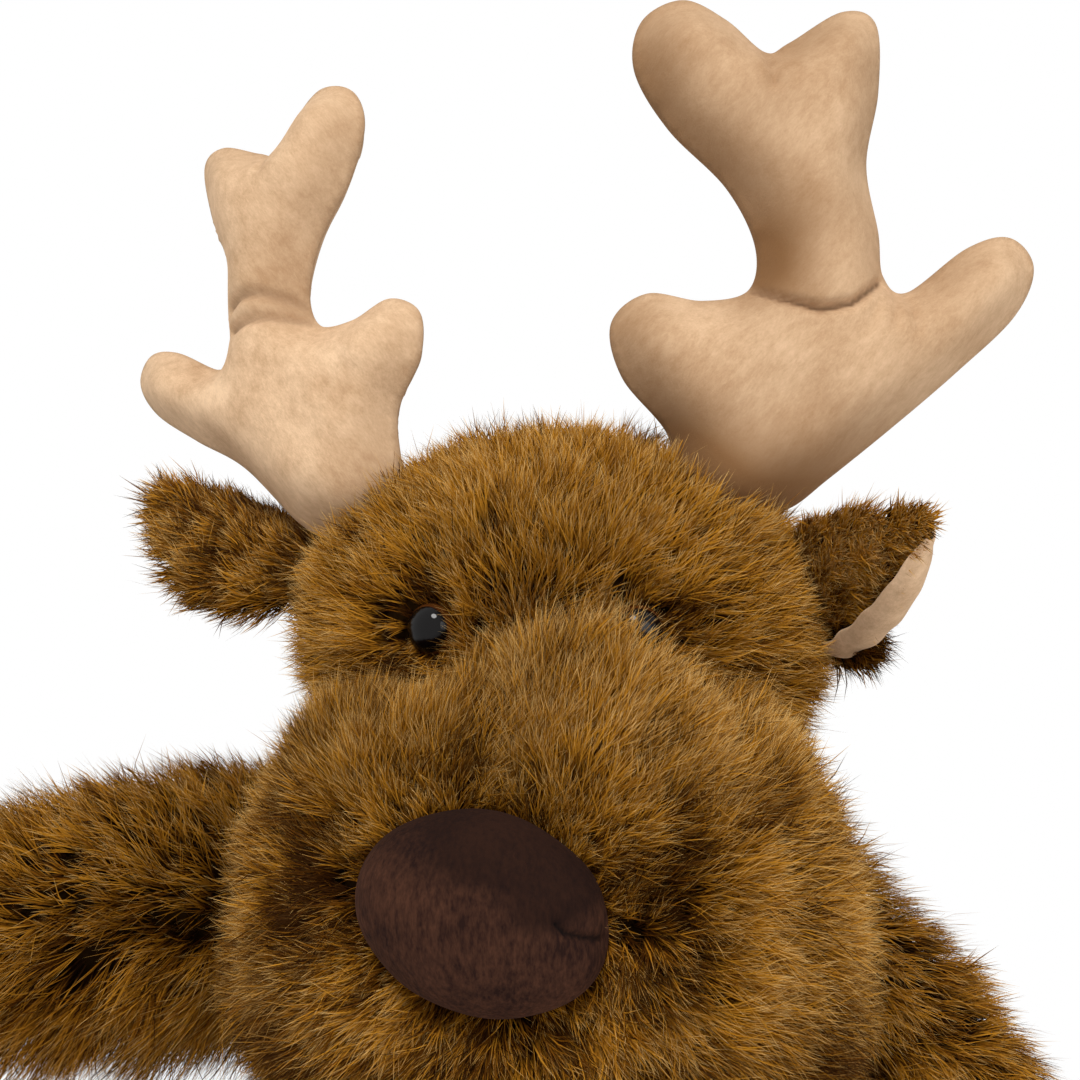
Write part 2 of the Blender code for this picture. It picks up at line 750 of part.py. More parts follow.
def antler_outline(size, stalk, steps):
    """The closed smooth outline of an antler's panel, with all but its foot raised by a stalk."""
    points = []
    for across, up in ANTLER_OUTLINE_SHARES:
        points.append(Vector((across * size, up * size + (stalk if up > ANTLER_FOOT_SHARE else 0.0))))
    count = len(points)
    curve = []
    for index in range(count):
        before, start, end, after = (points[(index + shift) % count] for shift in (-1, 0, 1, 2))
        for step in range(steps):
            t = step / steps
            curve.append(
                0.5
                * (
                    2.0 * start
                    + (end - before) * t
                    + (2.0 * before - 5.0 * start + 4.0 * end - after) * t * t
                    + (3.0 * start - before - 3.0 * end + after) * t * t * t
                )
            )
    return curve


def edge_distance(point, outline):
    """How far a point is from a closed outline."""
    nearest = None
    for start, end in zip(outline, outline[1:] + outline[:1]):
        span = end - start
        share = min(max((point - start).dot(span) / span.length_squared, 0.0), 1.0)
        distance = (point - start - span * share).length
        nearest = distance if nearest is None else min(nearest, distance)
    return nearest


def is_inside(point, outline):
    """Whether a point lies inside a closed outline."""
    inside = False
    for start, end in zip(outline, outline[1:] + outline[:1]):
        if (start.y > point.y) != (end.y > point.y):
            crossing = start.x + (point.y - start.y) * (end.x - start.x) / (end.y - start.y)
            if point.x < crossing:
                inside = not inside
    return inside


def inset_outline(outline, amount):
    """The outline drawn in by an amount."""
    moved = []
    count = len(outline)
    for index, point in enumerate(outline):
        along = outline[(index + 1) % count] - outline[index - 1]
        moved.append(point + Vector((-along.y, along.x)).normalized() * amount)
    return moved


def panel_grid(outline, spacing):
    """Points and triangles that fill an outline evenly."""
    low_x = min(point.x for point in outline)
    low_y = min(point.y for point in outline)
    high_x = max(point.x for point in outline)
    high_y = max(point.y for point in outline)
    points = list(outline)
    row = 0
    height = low_y + spacing / 2.0
    while height < high_y:
        place = low_x + spacing * GRID_STAGGER_SHARES[row % 2]
        while place < high_x:
            point = Vector((place, height))
            if is_inside(point, outline) and edge_distance(point, outline) > spacing * GRID_MARGIN_SHARE:
                points.append(point)
            place += spacing
        height += spacing * GRID_ROW_SHARE
        row += 1
    edges = [(index, (index + 1) % len(outline)) for index in range(len(outline))]
    places, _, triangles, _, _, _ = delaunay_2d_cdt(points, edges, [], 1, spacing * GRID_WELD_SHARE)
    return [Vector(place) for place in places], triangles


def puff(distance):
    """How far a stuffed panel stands out at a distance from its seam."""
    share = min(distance / ANTLER_PUFF_WIDTH, 1.0)
    return ANTLER_PUFF * math.sqrt(share * (2.0 - share))


def eased(heights, triangles, rim):
    """Heights drawn towards their neighbours' mean, with the rim left where it is."""
    neighbours = [set() for _ in heights]
    for triangle in triangles:
        for corner in triangle:
            neighbours[corner].update(triangle)
    for _ in range(ANTLER_SMOOTH_PASSES):
        means = [sum(heights[other] for other in near) / len(near) for near in neighbours]
        heights = heights[:rim] + means[rim:]
    return heights


def pillow(name, outline, spacing, near, far, material, mirror):
    """A closed solid over an outline, between two heights given as a lift and a share of the puff."""
    places, triangles = panel_grid(outline, spacing)
    mesh = bmesh.new()
    rim = len(outline)
    puffs = eased([puff(edge_distance(place, outline)) for place in places], triangles, rim)
    sheets = []
    for lift, share in (near, far):
        sheet = []
        for place, height in zip(places, puffs):
            sheet.append(mesh.verts.new((place.x * mirror, lift + height * share, place.y)))
        sheets.append(sheet)
        for triangle in triangles:
            mesh.faces.new([sheet[index] for index in triangle])
    join_rings(mesh, sheets[0][:rim], sheets[1][:rim])
    return object_from(mesh, name, material)


def antler(side, empty, mirror, height, stalk, finishes):
    """A branched antler: two sewn velour panels and their stuffing. Returns its seat's cutter."""
    outline = antler_outline(height, stalk, 2)
    coarse_outline = antler_outline(height, stalk, 1)
    name = f"antler_{side}"
    lift = SEAM_GAP / 2.0
    outside = lift + VELOUR_WALL
    velour = finishes["velour"]
    front = pillow(f"{name}_front", outline, ANTLER_GRID, (-lift, -1.0), (-outside, -1.0), velour, mirror)
    back = pillow(f"{name}_back", outline, ANTLER_GRID, (lift, 1.0), (outside, 1.0), velour, mirror)
    core_outline = inset_outline(coarse_outline, ANTLER_CORE_INSET)
    near = (-VELOUR_WALL / 2.0, -ANTLER_CORE_SHARE)
    far = (VELOUR_WALL / 2.0, ANTLER_CORE_SHARE)
    white = finishes["stuffing"]
    stuffing = pillow(f"{name}_stuffing", core_outline, ANTLER_CORE_GRID, near, far, white, mirror)
    seat_outline = inset_outline(coarse_outline, -SEAT_CLEARANCE)
    near = (-ANTLER_SEAT_ROOM, -ANTLER_SEAT_SHARE)
    far = (ANTLER_SEAT_ROOM, ANTLER_SEAT_SHARE)
    seat = pillow(f"seat_{name}", seat_outline, ANTLER_GRID, near, far, finishes["fur"], mirror)
    for thing in (front, back, stuffing, seat):
        hang(thing, empty)
    return guide(seat)


def antler_pivot(side, mirror, spacing, turns, neck):
    """The empty at an antler's root, just above the surface of the head."""
    turn, lean, tilt = turns
    place = mirror * spacing
    width_share = place / HEAD_HALF_WIDTH
    depth_share = (HEAD_FORWARD - ANTLER_FORWARD) / HEAD_HALF_DEPTH
    rise = HEAD_HALF_HEIGHT * math.sqrt(1.0 - width_share**2 - depth_share**2)
    axes = (
        Matrix.Rotation(mirror * turn, 3, "Z")
        @ Matrix.Rotation(-lean, 3, "X")
        @ Matrix.Rotation(mirror * tilt, 3, "Y")
    )
    height = HEAD_HEIGHT + rise + ANTLER_ROOT_LIFT
    return under(pivot(f"pivot_antler_{side}", Vector((place, -ANTLER_FORWARD, height)), axes), neck)


def under(empty, parent):
    """Hang one empty on another without moving it."""
    matrix = empty.matrix_world.copy()
    empty.parent = parent
    empty.matrix_parent_inverse = parent.matrix_world.inverted()
    empty.matrix_world = matrix
    return empty


def head_point(shares):
    """A place given as shares of half the head from its middle."""
    depth = HEAD_HALF_DEPTH * shares.y - HEAD_FORWARD
    return Vector((HEAD_HALF_WIDTH * shares.x, depth, HEAD_HEIGHT + HEAD_HALF_HEIGHT * shares.z))


def ear_pivot(side, root_shares, tip_shares, opening, neck):
    """The empty at an ear's root."""
    root, tip = head_point(root_shares), head_point(tip_shares)
    length_axis = (tip - root).normalized()
    depth_axis = -(opening - length_axis * opening.dot(length_axis)).normalized()
    width_axis = depth_axis.cross(length_axis).normalized()
    turn = Matrix((width_axis, depth_axis, length_axis)).transposed()
    return under(pivot(f"pivot_ear_{side}", root, turn), neck)


def limb_pivot(name, place, direction):
    """The empty at a limb's root, with Z along the limb."""
    return pivot(name, place, aimed(direction, FORWARD))


def arm_direction(mirror, drop, lean):
    """Which way an arm points: out to its side, dropped and swung forward."""
    out = math.cos(drop) * math.cos(lean)
    return Vector((mirror * out, -math.cos(drop) * math.sin(lean), -math.sin(drop)))


def leg_direction(mirror):
    """Which way a leg points along the floor."""
    return Vector((mirror * math.sin(LEG_SPLAY), -math.cos(LEG_SPLAY), 0.0))


def tail(finishes):
    """The tail: a small furred bob with its stuffing. Returns the cutter for its seat."""
    place = Vector((0.0, TAIL_BACK, TAIL_HEIGHT))
    direction = Vector((0.0, math.cos(TAIL_RISE), math.sin(TAIL_RISE)))
    empty = limb_pivot("pivot_tail", place, direction)
    walls = []
    for shrink in (0.0, FUR_WALL, FUR_WALL + CORE_GAP):
        length = TAIL_LENGTH - shrink
        walls.append(limb_profile(TAIL_ROOT_RADIUS, TAIL_RADIUS, length, TAIL_SHARES, shrink))
    skin = turned(
        "tail_skin", walls[0], SMALL_SIDES, finishes["fur"], (-TAIL_ROOT_RADIUS, TAIL_LENGTH)
    )
    poles = (FUR_WALL - TAIL_ROOT_RADIUS, TAIL_LENGTH - FUR_WALL)
    hollow = guide(turned("tail_hollow", walls[1], SMALL_SIDES, finishes["stuffing"], poles))
    fill = FUR_WALL + CORE_GAP
    filled = (fill - TAIL_ROOT_RADIUS, TAIL_LENGTH - fill)
    stuffing = turned("tail_stuffing", walls[2], SMALL_SIDES, finishes["stuffing"], filled)
    mouth_radius = (TAIL_ROOT_RADIUS - FUR_WALL) / 2.0
    mouth = guide(post("tail_mouth", mouth_radius, -CUT_OVERRUN, 0.0, CORE_SIDES, finishes["stuffing"]))
    cut(skin, hollow)
    cut(skin, mouth)
    room = -TAIL_CLEARANCE
    seat_profile = limb_profile(TAIL_ROOT_RADIUS, TAIL_RADIUS, TAIL_LENGTH, TAIL_SHARES, room)
    tips = (room - TAIL_ROOT_RADIUS, TAIL_LENGTH - room)
    seat = guide(turned("seat_tail", seat_profile, SEAT_SIDES, finishes["fur"], tips))
    for thing in (skin, hollow, stuffing, mouth, seat):
        hang(thing, empty)
    return seat


def build():
    """Build the whole deer."""
    clear_scene()
    finishes = {
        "fur": finish("brown_fur", (0.20, 0.09, 0.02), 0.95),
        "velour": finish("tan_velour", (0.62, 0.42, 0.26), 0.85),
        "nose": finish("cocoa_velour", (0.045, 0.018, 0.010), 0.85),
        "stuffing": finish("white_stuffing", (0.85, 0.84, 0.80), 0.95),
        "pellets": finish("pellet_bag_cloth", (0.70, 0.70, 0.66), 0.80),
        "eye": finish("black_gloss", (0.010, 0.006, 0.004), 0.08),
        "washer": finish("white_plastic", (0.80, 0.80, 0.78), 0.40),
    }
    arm_sizes = (ARM_ROOT_RADIUS, ARM_RADIUS, ARM_LENGTH, ARM_HOOF_LENGTH, ARM_SHARES)
    leg_sizes = (LEG_ROOT_RADIUS, LEG_RADIUS, LEG_LENGTH, LEG_HOOF_LENGTH, LEG_SHARES)
    leg_height = LEG_RADIUS + FLOOR_GAP
    seats = []
    for side, mirror in (("left", 1.0), ("right", -1.0)):
        hip = Vector((mirror * HIP_HALF_SPACING, -HIP_FORWARD, leg_height))
        empty = limb_pivot(f"pivot_hip_{side}", hip, leg_direction(mirror))
        seats.append(limb(side, "leg", empty, leg_sizes, finishes))
    for side, mirror, drop, lean in (
        ("left", 1.0, ARM_LEFT_DROP, ARM_LEFT_LEAN),
        ("right", -1.0, ARM_RIGHT_DROP, ARM_RIGHT_LEAN),
    ):
        shoulder = Vector((mirror * SHOULDER_HALF_SPACING, 0.0, SHOULDER_HEIGHT))
        empty = limb_pivot(f"pivot_shoulder_{side}", shoulder, arm_direction(mirror, drop, lean))
        seats.append(limb(side, "arm", empty, arm_sizes, finishes))
    seats.append(tail(finishes))
    neck_place = Vector((0.0, -NECK_FORWARD, NECK_HEIGHT))
    neck = pivot("pivot_neck", neck_place)
    neck_seat = round_seat("seat_neck", neck_place, NECK_RADIUS, finishes)
    neck_halves = (NECK_RADIUS, NECK_RADIUS, NECK_RADIUS)
    plug = ball("neck_plug", neck_place, neck_halves, LIMB_SIDES, SEAT_RINGS, finishes["fur"])
    carry(plug, neck)
    seats.append(neck_seat)
    torso(seats, finishes)
    head_seats = [neck_seat]
    left_turns = (ANTLER_LEFT_TURN, ANTLER_LEFT_LEAN, ANTLER_LEFT_TILT)
    right_turns = (ANTLER_RIGHT_TURN, ANTLER_RIGHT_LEAN, ANTLER_RIGHT_TILT)
    for side, mirror, spacing, height, stalk, turns in (
        ("left", 1.0, ANTLER_LEFT_SPACING, ANTLER_LEFT_HEIGHT, ANTLER_LEFT_STALK, left_turns),
        ("right", -1.0, ANTLER_RIGHT_SPACING, ANTLER_RIGHT_HEIGHT, ANTLER_RIGHT_STALK, right_turns),
    ):
        empty = antler_pivot(side, mirror, spacing, turns, neck)
        head_seats.append(antler(side, empty, mirror, height, stalk, finishes))
    for side, root, tip, opening in (
        ("left", EAR_LEFT_ROOT_SHARES, EAR_LEFT_TIP_SHARES, EAR_LEFT_OPENING_SHARES),
        ("right", EAR_RIGHT_ROOT_SHARES, EAR_RIGHT_TIP_SHARES, EAR_RIGHT_OPENING_SHARES),
    ):
        empty = ear_pivot(side, root, tip, opening, neck)
        head_seats.append(ear(side, empty, finishes))
    head_seats += eyes(neck, finishes)
    head(neck, head_seats, finishes)
    muzzle(neck, finishes)
    nose(neck, finishes)


build()
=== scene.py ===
"""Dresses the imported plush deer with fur, velour, glossy eyes, a floor, lights and a camera."""

import logging
import math
from collections.abc import Callable, Sequence
from dataclasses import dataclass
from enum import Enum

import bmesh
import bpy
import numpy as np
from mathutils import Matrix, Vector
from mathutils.geometry import delaunay_2d_cdt


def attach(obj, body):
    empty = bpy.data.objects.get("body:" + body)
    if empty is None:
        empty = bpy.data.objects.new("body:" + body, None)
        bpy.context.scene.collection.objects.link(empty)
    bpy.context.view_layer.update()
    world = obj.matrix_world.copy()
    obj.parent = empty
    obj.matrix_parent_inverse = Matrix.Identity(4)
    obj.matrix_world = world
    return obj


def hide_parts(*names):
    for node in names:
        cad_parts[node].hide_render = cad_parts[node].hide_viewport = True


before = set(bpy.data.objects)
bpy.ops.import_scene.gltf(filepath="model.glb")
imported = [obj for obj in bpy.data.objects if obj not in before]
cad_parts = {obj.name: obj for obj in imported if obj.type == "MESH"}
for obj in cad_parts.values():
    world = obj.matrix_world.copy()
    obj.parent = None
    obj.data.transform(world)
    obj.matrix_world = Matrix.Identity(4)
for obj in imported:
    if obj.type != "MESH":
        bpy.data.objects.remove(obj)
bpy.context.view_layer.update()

LOG = logging.getLogger("deer")
FUR_MAP = "OFBake"
# The seam mark holds real seams and the painted shade in the antlers' creases; the shade mark holds painted
# shade.
SEAM_AND_CREASE_SHADE = "seam"
SHADE = "shade"
FUR_SLOT = "brown_fur"
TAN_SLOT = "tan_velour"
WHITE = (1.0, 1.0, 1.0)
FLOOR_LIFT = 0.0012
FUR_FOOT = 0.012
TONE_EDGE = 0.012
MAP_MARGIN = 0.01
PILE_INSET = 0.0095

Colour = tuple[float, float, float]
Points = np.ndarray


class Side(Enum):
    """The deer's left is +X and its right is -X."""

    LEFT = 1.0
    RIGHT = -1.0

    @property
    def word(self) -> str:
        """The side's name in small letters."""
        return self.name.lower()


class Value:
    """A shader socket that takes part in sums."""

    def __init__(self, nodes: "Nodes", socket: bpy.types.NodeSocket) -> None:
        """Keep the socket and the tree it belongs to."""
        self.nodes = nodes
        self.socket = socket

    def _sum(self, operation: str, first: object, second: object) -> "Value":
        """Add a Math node for two terms."""
        return self.nodes.add("ShaderNodeMath", {"operation": operation}, {0: first, 1: second})

    def __add__(self, other: object) -> "Value":
        """The sum."""
        return self._sum("ADD", self, other)

    def __radd__(self, other: object) -> "Value":
        """The sum, from the right."""
        return self._sum("ADD", other, self)

    def __sub__(self, other: object) -> "Value":
        """The difference."""
        return self._sum("SUBTRACT", self, other)

    def __mul__(self, other: object) -> "Value":
        """The product."""
        return self._sum("MULTIPLY", self, other)

    def __rmul__(self, other: object) -> "Value":
        """The product, from the right."""
        return self._sum("MULTIPLY", other, self)

    def most(self, other: object) -> "Value":
        """The greater of two."""
        return self._sum("MAXIMUM", self, other)


class Nodes:
    """The node tree of one material or of the world."""

    def __init__(self, tree: bpy.types.NodeTree) -> None:
        """Start from an empty tree."""
        tree.nodes.clear()
        self.tree = tree

    def add(
        self,
        kind: str,
        settings: dict[str, object] | None = None,
        inputs: dict[object, object] | None = None,
        output: object = 0,
    ) -> Value:
        """Add a node.

        Args:
            kind: The node's type.
            settings: Its settings, which are made first; "stops" are a ramp's.
            inputs: Numbers, colours or values for its sockets, by name or index.
            output: The output that is wanted, by name or index.

        Returns:
            The wanted output.
        """
        node = self.tree.nodes.new(kind)
        for name, setting in (settings or {}).items():
            if name == "stops":
                self._set_stops(node.color_ramp, setting)
            else:
                setattr(node, name, setting)
        for name, value in (inputs or {}).items():
            socket = node.inputs[name]
            if isinstance(value, Value):
                self.tree.links.new(value.socket, socket)
            elif socket.type == "RGBA":
                socket.default_value = (*value, 1.0)
            else:
                socket.default_value = value
        return Value(self, node.outputs[output])

    @staticmethod
    def _set_stops(ramp: bpy.types.ColorRamp, stops: Sequence[tuple[float, Colour]]) -> None:
        """Give a ramp its stops."""
        while len(ramp.elements) < len(stops):
            ramp.elements.new(1.0)
        for element, (place, colour) in zip(ramp.elements, stops):
            element.position = place
            element.color = (*colour, 1.0)

    def ramp(self, factor: Value, stops: Sequence[tuple[float, Colour]]) -> Value:
        """A colour ramp over a factor."""
        return self.add("ShaderNodeValToRGB", {"stops": stops}, {"Fac": factor})

    def mix(self, factor: object, first: object, second: object, way: str = "MIX") -> Value:
        """Mix two colours.

        Args:
            factor: How much of the second is taken.
            first: The first colour.
            second: The second colour.
            way: The blend type.

        Returns:
            The mixed colour.
        """
        settings = {"data_type": "RGBA", "blend_type": way}
        return self.add("ShaderNodeMix", settings, {0: factor, 6: first, 7: second}, 2)

    def noise(self, place: Value, scale: float, detail: float = 2.0, roughness: float = 0.5) -> Value:
        """Noise at a place.

        Args:
            place: The coordinates.
            scale: Features for each metre.
            detail: Octaves.
            roughness: How strong the finer octaves are.

        Returns:
            The noise's factor.
        """
        inputs = {"Vector": place, "Scale": scale, "Detail": detail, "Roughness": roughness}
        return self.add("ShaderNodeTexNoise", None, inputs, "Fac")

    def object_place(self) -> Value:
        """The Object coordinates."""
        return self.add("ShaderNodeTexCoord", None, None, "Object")

    def attribute(self, name: str) -> Value:
        """A number that the mesh holds at each point."""
        return self.add("ShaderNodeAttribute", {"attribute_name": name}, None, "Fac")

    def bump(self, height: Value, strength: float, depth: float) -> Value:
        """A normal that follows a height."""
        inputs = {"Strength": strength, "Distance": depth, "Height": height}
        return self.add("ShaderNodeBump", None, inputs, "Normal")

    def span(self, value: Value, low: float, high: float) -> Value:
        """The share of the way from a low value to a high one."""
        inputs = {"Value": value, "From Min": low, "From Max": high}
        return self.add("ShaderNodeMapRange", None, inputs, "Result")

    def surface(self, inputs: dict[object, object]) -> None:
        """Finish with a Principled shader."""
        self.finish(self.add("ShaderNodeBsdfPrincipled", None, inputs))

    def finish(self, shader: Value, kind: str = "ShaderNodeOutputMaterial") -> None:
        """Wire a shader to an output of its kind."""
        node = self.tree.nodes.new(kind)
        self.tree.links.new(shader.socket, node.inputs["Surface"])


def new_material(name: str) -> tuple[bpy.types.Material, Nodes]:
    """Start a material.

    Args:
        name: The material's name.

    Returns:
        The material and its nodes.
    """
    material = bpy.data.materials.new(name)
    material.use_nodes = True
    return material, Nodes(material.node_tree)


@dataclass(frozen=True)
class FurFinish:
    """Long brown pile, dark at its roots (partly painted shade deep in the pile), with paler tips (partly a
    painted highlight).
    """

    name: str = "long_brown_pile"
    root: Colour = (0.030, 0.0090, 0.0010)
    shaft: Colour = (0.515, 0.230, 0.020)
    tip: Colour = (0.980, 0.690, 0.300)
    root_end: float = 0.22
    shaft_span: tuple[float, float] = (0.50, 0.77)
    # The tone ramp: low tones darken a strand, both for its own random tone and for painted shade.
    dyes: tuple[tuple[float, Colour], ...] = (
        (0.0, (0.055, 0.034, 0.018)),
        (0.35, (0.330, 0.250, 0.140)),
        (0.65, (0.780, 0.725, 0.600)),
        (1.0, WHITE),
    )
    roughness: float = 0.70
    shine: float = 0.05

    def make(self) -> bpy.types.Material:
        """The material, which reads each strand's tone across its map and its length up it."""
        material, nodes = new_material(self.name)
        place = nodes.add("ShaderNodeUVMap", {"uv_map": FUR_MAP})
        tone = nodes.add("ShaderNodeSeparateXYZ", None, {0: place}, "X")
        along = nodes.add("ShaderNodeSeparateXYZ", None, {0: place}, "Y")
        places = (0.0, self.root_end, *self.shaft_span, 1.0)
        colours = (self.root, self.root, self.shaft, self.shaft, self.tip)
        length = nodes.ramp(along, tuple(zip(places, colours)))
        # Low tones carry the strand's own tone and painted shade.
        colour = nodes.mix(1.0, length, nodes.ramp(tone, self.dyes), "MULTIPLY")
        nodes.surface({"Base Color": colour, "Roughness": self.roughness, "Specular IOR Level": self.shine})
        return material


@dataclass(frozen=True)
class BackingFinish:
    """The knitted backing at the foot of the pile."""

    name: str = "pile_backing"
    # Near black, partly painted shade: it stands in for the shade in the gaps between tufts.
    colour: Colour = (0.020, 0.009, 0.0020)
    hollow_share: float = 0.4
    stitches: float = 420.0
    relief: float = 0.4
    stitch_depth: float = 0.0006
    roughness: float = 0.95
    shine: float = 0.02

    def make(self) -> bpy.types.Material:
        """The material, with painted shade in the hollows of its knit."""
        material, nodes = new_material(self.name)
        knit = nodes.noise(nodes.object_place(), self.stitches, 2.0, 0.6)
        # Painted shade: darker in the knit's hollows.
        hollow_shade = tuple(self.hollow_share * part for part in self.colour)
        nodes.surface(
            {
                "Base Color": nodes.mix(knit, hollow_shade, self.colour),
                "Roughness": self.roughness,
                "Specular IOR Level": self.shine,
                "Normal": nodes.bump(knit, self.relief, self.stitch_depth),
            }
        )
        return material


@dataclass(frozen=True)
class VelourFinish:
    """Short pile velour with a brushed nap: soft clouds, combed streaks and a fine grain."""

    name: str
    pale: Colour
    deep: Colour
    # The thread colour, also used for painted shade in creases.
    thread: Colour
    # The colour of painted shade.
    shaded: Colour
    cloud: float = 0.45
    fleck: float = 0.20
    nap: float = 26.0
    streaks: float = 9.0
    grain: float = 1150.0
    stretch: float = 2.6
    contrast: tuple[float, float] = (0.38, 0.62)
    roughness: float = 0.88
    roughness_change: float = 0.08
    sheen: float = 0.30
    sheen_roughness: float = 0.45
    relief: float = 0.35
    nap_depth: float = 0.0005
    shine: float = 0.2
    turn: tuple[float, float, float] = (0.0, 0.7, 0.0)

    def make(self) -> bpy.types.Material:
        """The material, darkened toward its shaded colour by the painted shade mark, and toward its thread by
        the seam mark, which holds seams and painted crease shade.
        """
        material, nodes = new_material(self.name)
        place = nodes.object_place()
        mirrored = nodes.add("ShaderNodeVectorMath", {"operation": "ABSOLUTE"}, {0: place}, "Vector")
        combed = nodes.add(
            "ShaderNodeMapping",
            {"vector_type": "TEXTURE"},
            {"Vector": mirrored, "Rotation": self.turn, "Scale": (1.0, 1.0, self.stretch)},
        )
        nap = nodes.noise(place, self.nap, 3.0, 0.55)
        brushed = nodes.noise(combed, self.nap * self.streaks, 4.0, 0.7)
        grain = nodes.noise(combed, self.grain, 2.0, 0.7)
        mixed = nap * self.cloud + brushed * (1.0 - self.cloud - self.fleck) + grain * self.fleck
        tone = nodes.span(mixed, *self.contrast)
        colour = nodes.mix(tone, self.deep, self.pale)
        # Painted shade, from the shade mark.
        colour = nodes.mix(nodes.attribute(SHADE), colour, self.shaded)
        # Seams, and painted shade in the antlers' creases, darken toward the thread colour.
        colour = nodes.mix(nodes.attribute(SEAM_AND_CREASE_SHADE), colour, self.thread)
        nodes.surface(
            {
                "Base Color": colour,
                "Roughness": self.roughness + self.roughness_change * (tone - 0.5),
                "Specular IOR Level": self.shine,
                "Sheen Weight": self.sheen,
                "Sheen Roughness": self.sheen_roughness,
                "Sheen Tint": self.pale,
                "Normal": nodes.bump(grain + brushed * 0.8, self.relief, self.nap_depth),
            }
        )
        return material


@dataclass(frozen=True)
class EyeFinish:
    """Glossy black plastic with an amber ring near the rim."""

    name: str
    apex: Vector
    radius: float
    black: Colour = (0.003, 0.002, 0.002)
    amber: Colour = (0.080, 0.024, 0.005)
    ring_start: float = 0.95
    roughness: float = 0.05
    shine: float = 0.20

    def make(self) -> bpy.types.Material:
        """The material, with its ring about the top of the dome."""
        material, nodes = new_material(self.name)
        inputs = {0: nodes.object_place(), 1: self.apex}
        reach = nodes.add("ShaderNodeVectorMath", {"operation": "DISTANCE"}, inputs, "Value")
        stops = ((0.0, self.black), (self.ring_start, self.black), (1.0, self.amber))
        colour = nodes.ramp(reach * (1.0 / self.radius), stops)
        nodes.surface({"Base Color": colour, "Roughness": self.roughness, "Specular IOR Level": self.shine})
        return material


@dataclass(frozen=True)
class PlasticFinish:
    """Plain moulded plastic."""

    name: str = "washer_plastic"
    colour: Colour = (0.78, 0.78, 0.75)
    marks: float = 700.0
    mark_share: float = 0.9
    roughness: tuple[float, float] = (0.35, 0.15)

    def make(self) -> bpy.types.Material:
        """The material, a little duller and smoother in its marks."""
        material, nodes = new_material(self.name)
        marks = nodes.noise(nodes.object_place(), self.marks)
        duller = tuple(self.mark_share * part for part in self.colour)
        colour = nodes.mix(marks, duller, self.colour)
        base, change = self.roughness
        nodes.surface({"Base Color": colour, "Roughness": base + change * marks})
        return material


def curve(stops: Points, steps: int) -> Points:
    """A smooth curve through stops, of which the first and the last two only guide it.

    Args:
        stops: A row of numbers for each stop.
        steps: How many points each stretch gets.

    Returns:
        The points' rows, from the second stop up to the last but one, which is left out.
    """
    share = (np.arange(steps) / steps)[:, None]
    rows = []
    for before, start, end, after in zip(stops, stops[1:], stops[2:], stops[3:]):
        square = 2.0 * before - 5.0 * start + 4.0 * end - after
        cube = 3.0 * start - before - 3.0 * end + after
        rows.append(0.5 * (2.0 * start + (end - before) * share + square * share**2 + cube * share**3))
    return np.vstack(rows)
@dataclass(frozen=True)
class Form:
    """A stuffed form: oval rings up an axis, each a height, a half width, two depths and a centre."""

    rings: tuple[tuple[float, float, float, float, float], ...]
    place: Vector
    axes: Matrix

    def table(self, inset: float) -> Points:
        """The rings made dense and smooth.

        Args:
            inset: How far the form is drawn in.

        Returns:
            Rows of share of the length along the profile, height, half width, depths and centre.
        """
        rings = np.array(self.rings, float)
        ends = rings[[1, -2]] * np.array([1.0, -1.0, -1.0, -1.0, 1.0])
        ends[:, 0] = rings[[0, -1], 0]
        stack = np.vstack([ends[:1], rings, ends[1:]])
        dense = np.vstack([curve(stack, RING_STEPS), rings[-1:]])
        middle = (dense[0, 0] + dense[-1, 0]) / 2.0
        half = (dense[-1, 0] - dense[0, 0]) / 2.0
        dense[:, 0] = middle + (dense[:, 0] - middle) * (1.0 - inset / half)
        dense[:, 1:4] = np.maximum(dense[:, 1:4] - inset * (dense[:, 1:4] > 0.0), 0.0)
        dense[[0, -1], 1:4] = 0.0
        dense[:, 0] = np.maximum.accumulate(dense[:, 0])
        run = np.hypot(np.diff(dense[:, 0]), np.diff(dense[:, 1]))
        share = np.concatenate([[0.0], np.cumsum(run)])
        return np.column_stack([share / share[-1], dense])

    def cover(
        self, name: str, inset: float, faces: tuple[int, int], dent: Callable[[Points], Points] | None = None
    ) -> bpy.types.Object:
        """A closed cover of the form.

        Args:
            name: The piece's name.
            inset: How far it is drawn in from the form.
            faces: How many faces it has round it and up it.
            dent: Moves the points, as a sculptor would.

        Returns:
            The piece, at the origin, with its place in its mesh.
        """
        table = self.table(inset)
        mesh = bmesh.new()
        bmesh.ops.create_uvsphere(mesh, u_segments=faces[0], v_segments=faces[1], radius=1.0)
        unit = np.array([vertex.co for vertex in mesh.verts])
        share = np.arccos(np.clip(-unit[:, 2], -1.0, 1.0)) / math.pi
        height, width, front, back, centre = (
            np.interp(share, table[:, 0], table[:, column]) for column in range(1, 6)
        )
        flat = np.maximum(np.hypot(unit[:, 0], unit[:, 1]), 1e-9)
        reach = np.where(unit[:, 1] > 0.0, back, front)
        local = np.column_stack(
            [width * unit[:, 0] / flat, centre + reach * unit[:, 1] / flat, height]
        )
        points = local @ np.array(self.axes).T + np.array(self.place)
        if dent is not None:
            points = dent(points)
        for vertex, point in zip(mesh.verts, points):
            vertex.co = point
        return finished(mesh, name)

    def holds(self, points: Points, inset: float) -> Points:
        """Which points lie inside the form.

        Args:
            points: Places in the deer's frame.
            inset: How far the form is drawn in first.

        Returns:
            True for each point inside.
        """
        table = self.table(inset)
        local = (points - np.array(self.place)) @ np.array(self.axes)
        height = local[:, 2]
        width, front, back, centre = (
            np.interp(height, table[:, 1], table[:, column], left=0.0, right=0.0) for column in range(2, 6)
        )
        depth = local[:, 1] - centre
        reach = np.where(depth > 0.0, back, front)
        return (local[:, 0] / np.maximum(width, 1e-6)) ** 2 + (depth / np.maximum(reach, 1e-6)) ** 2 < 1.0


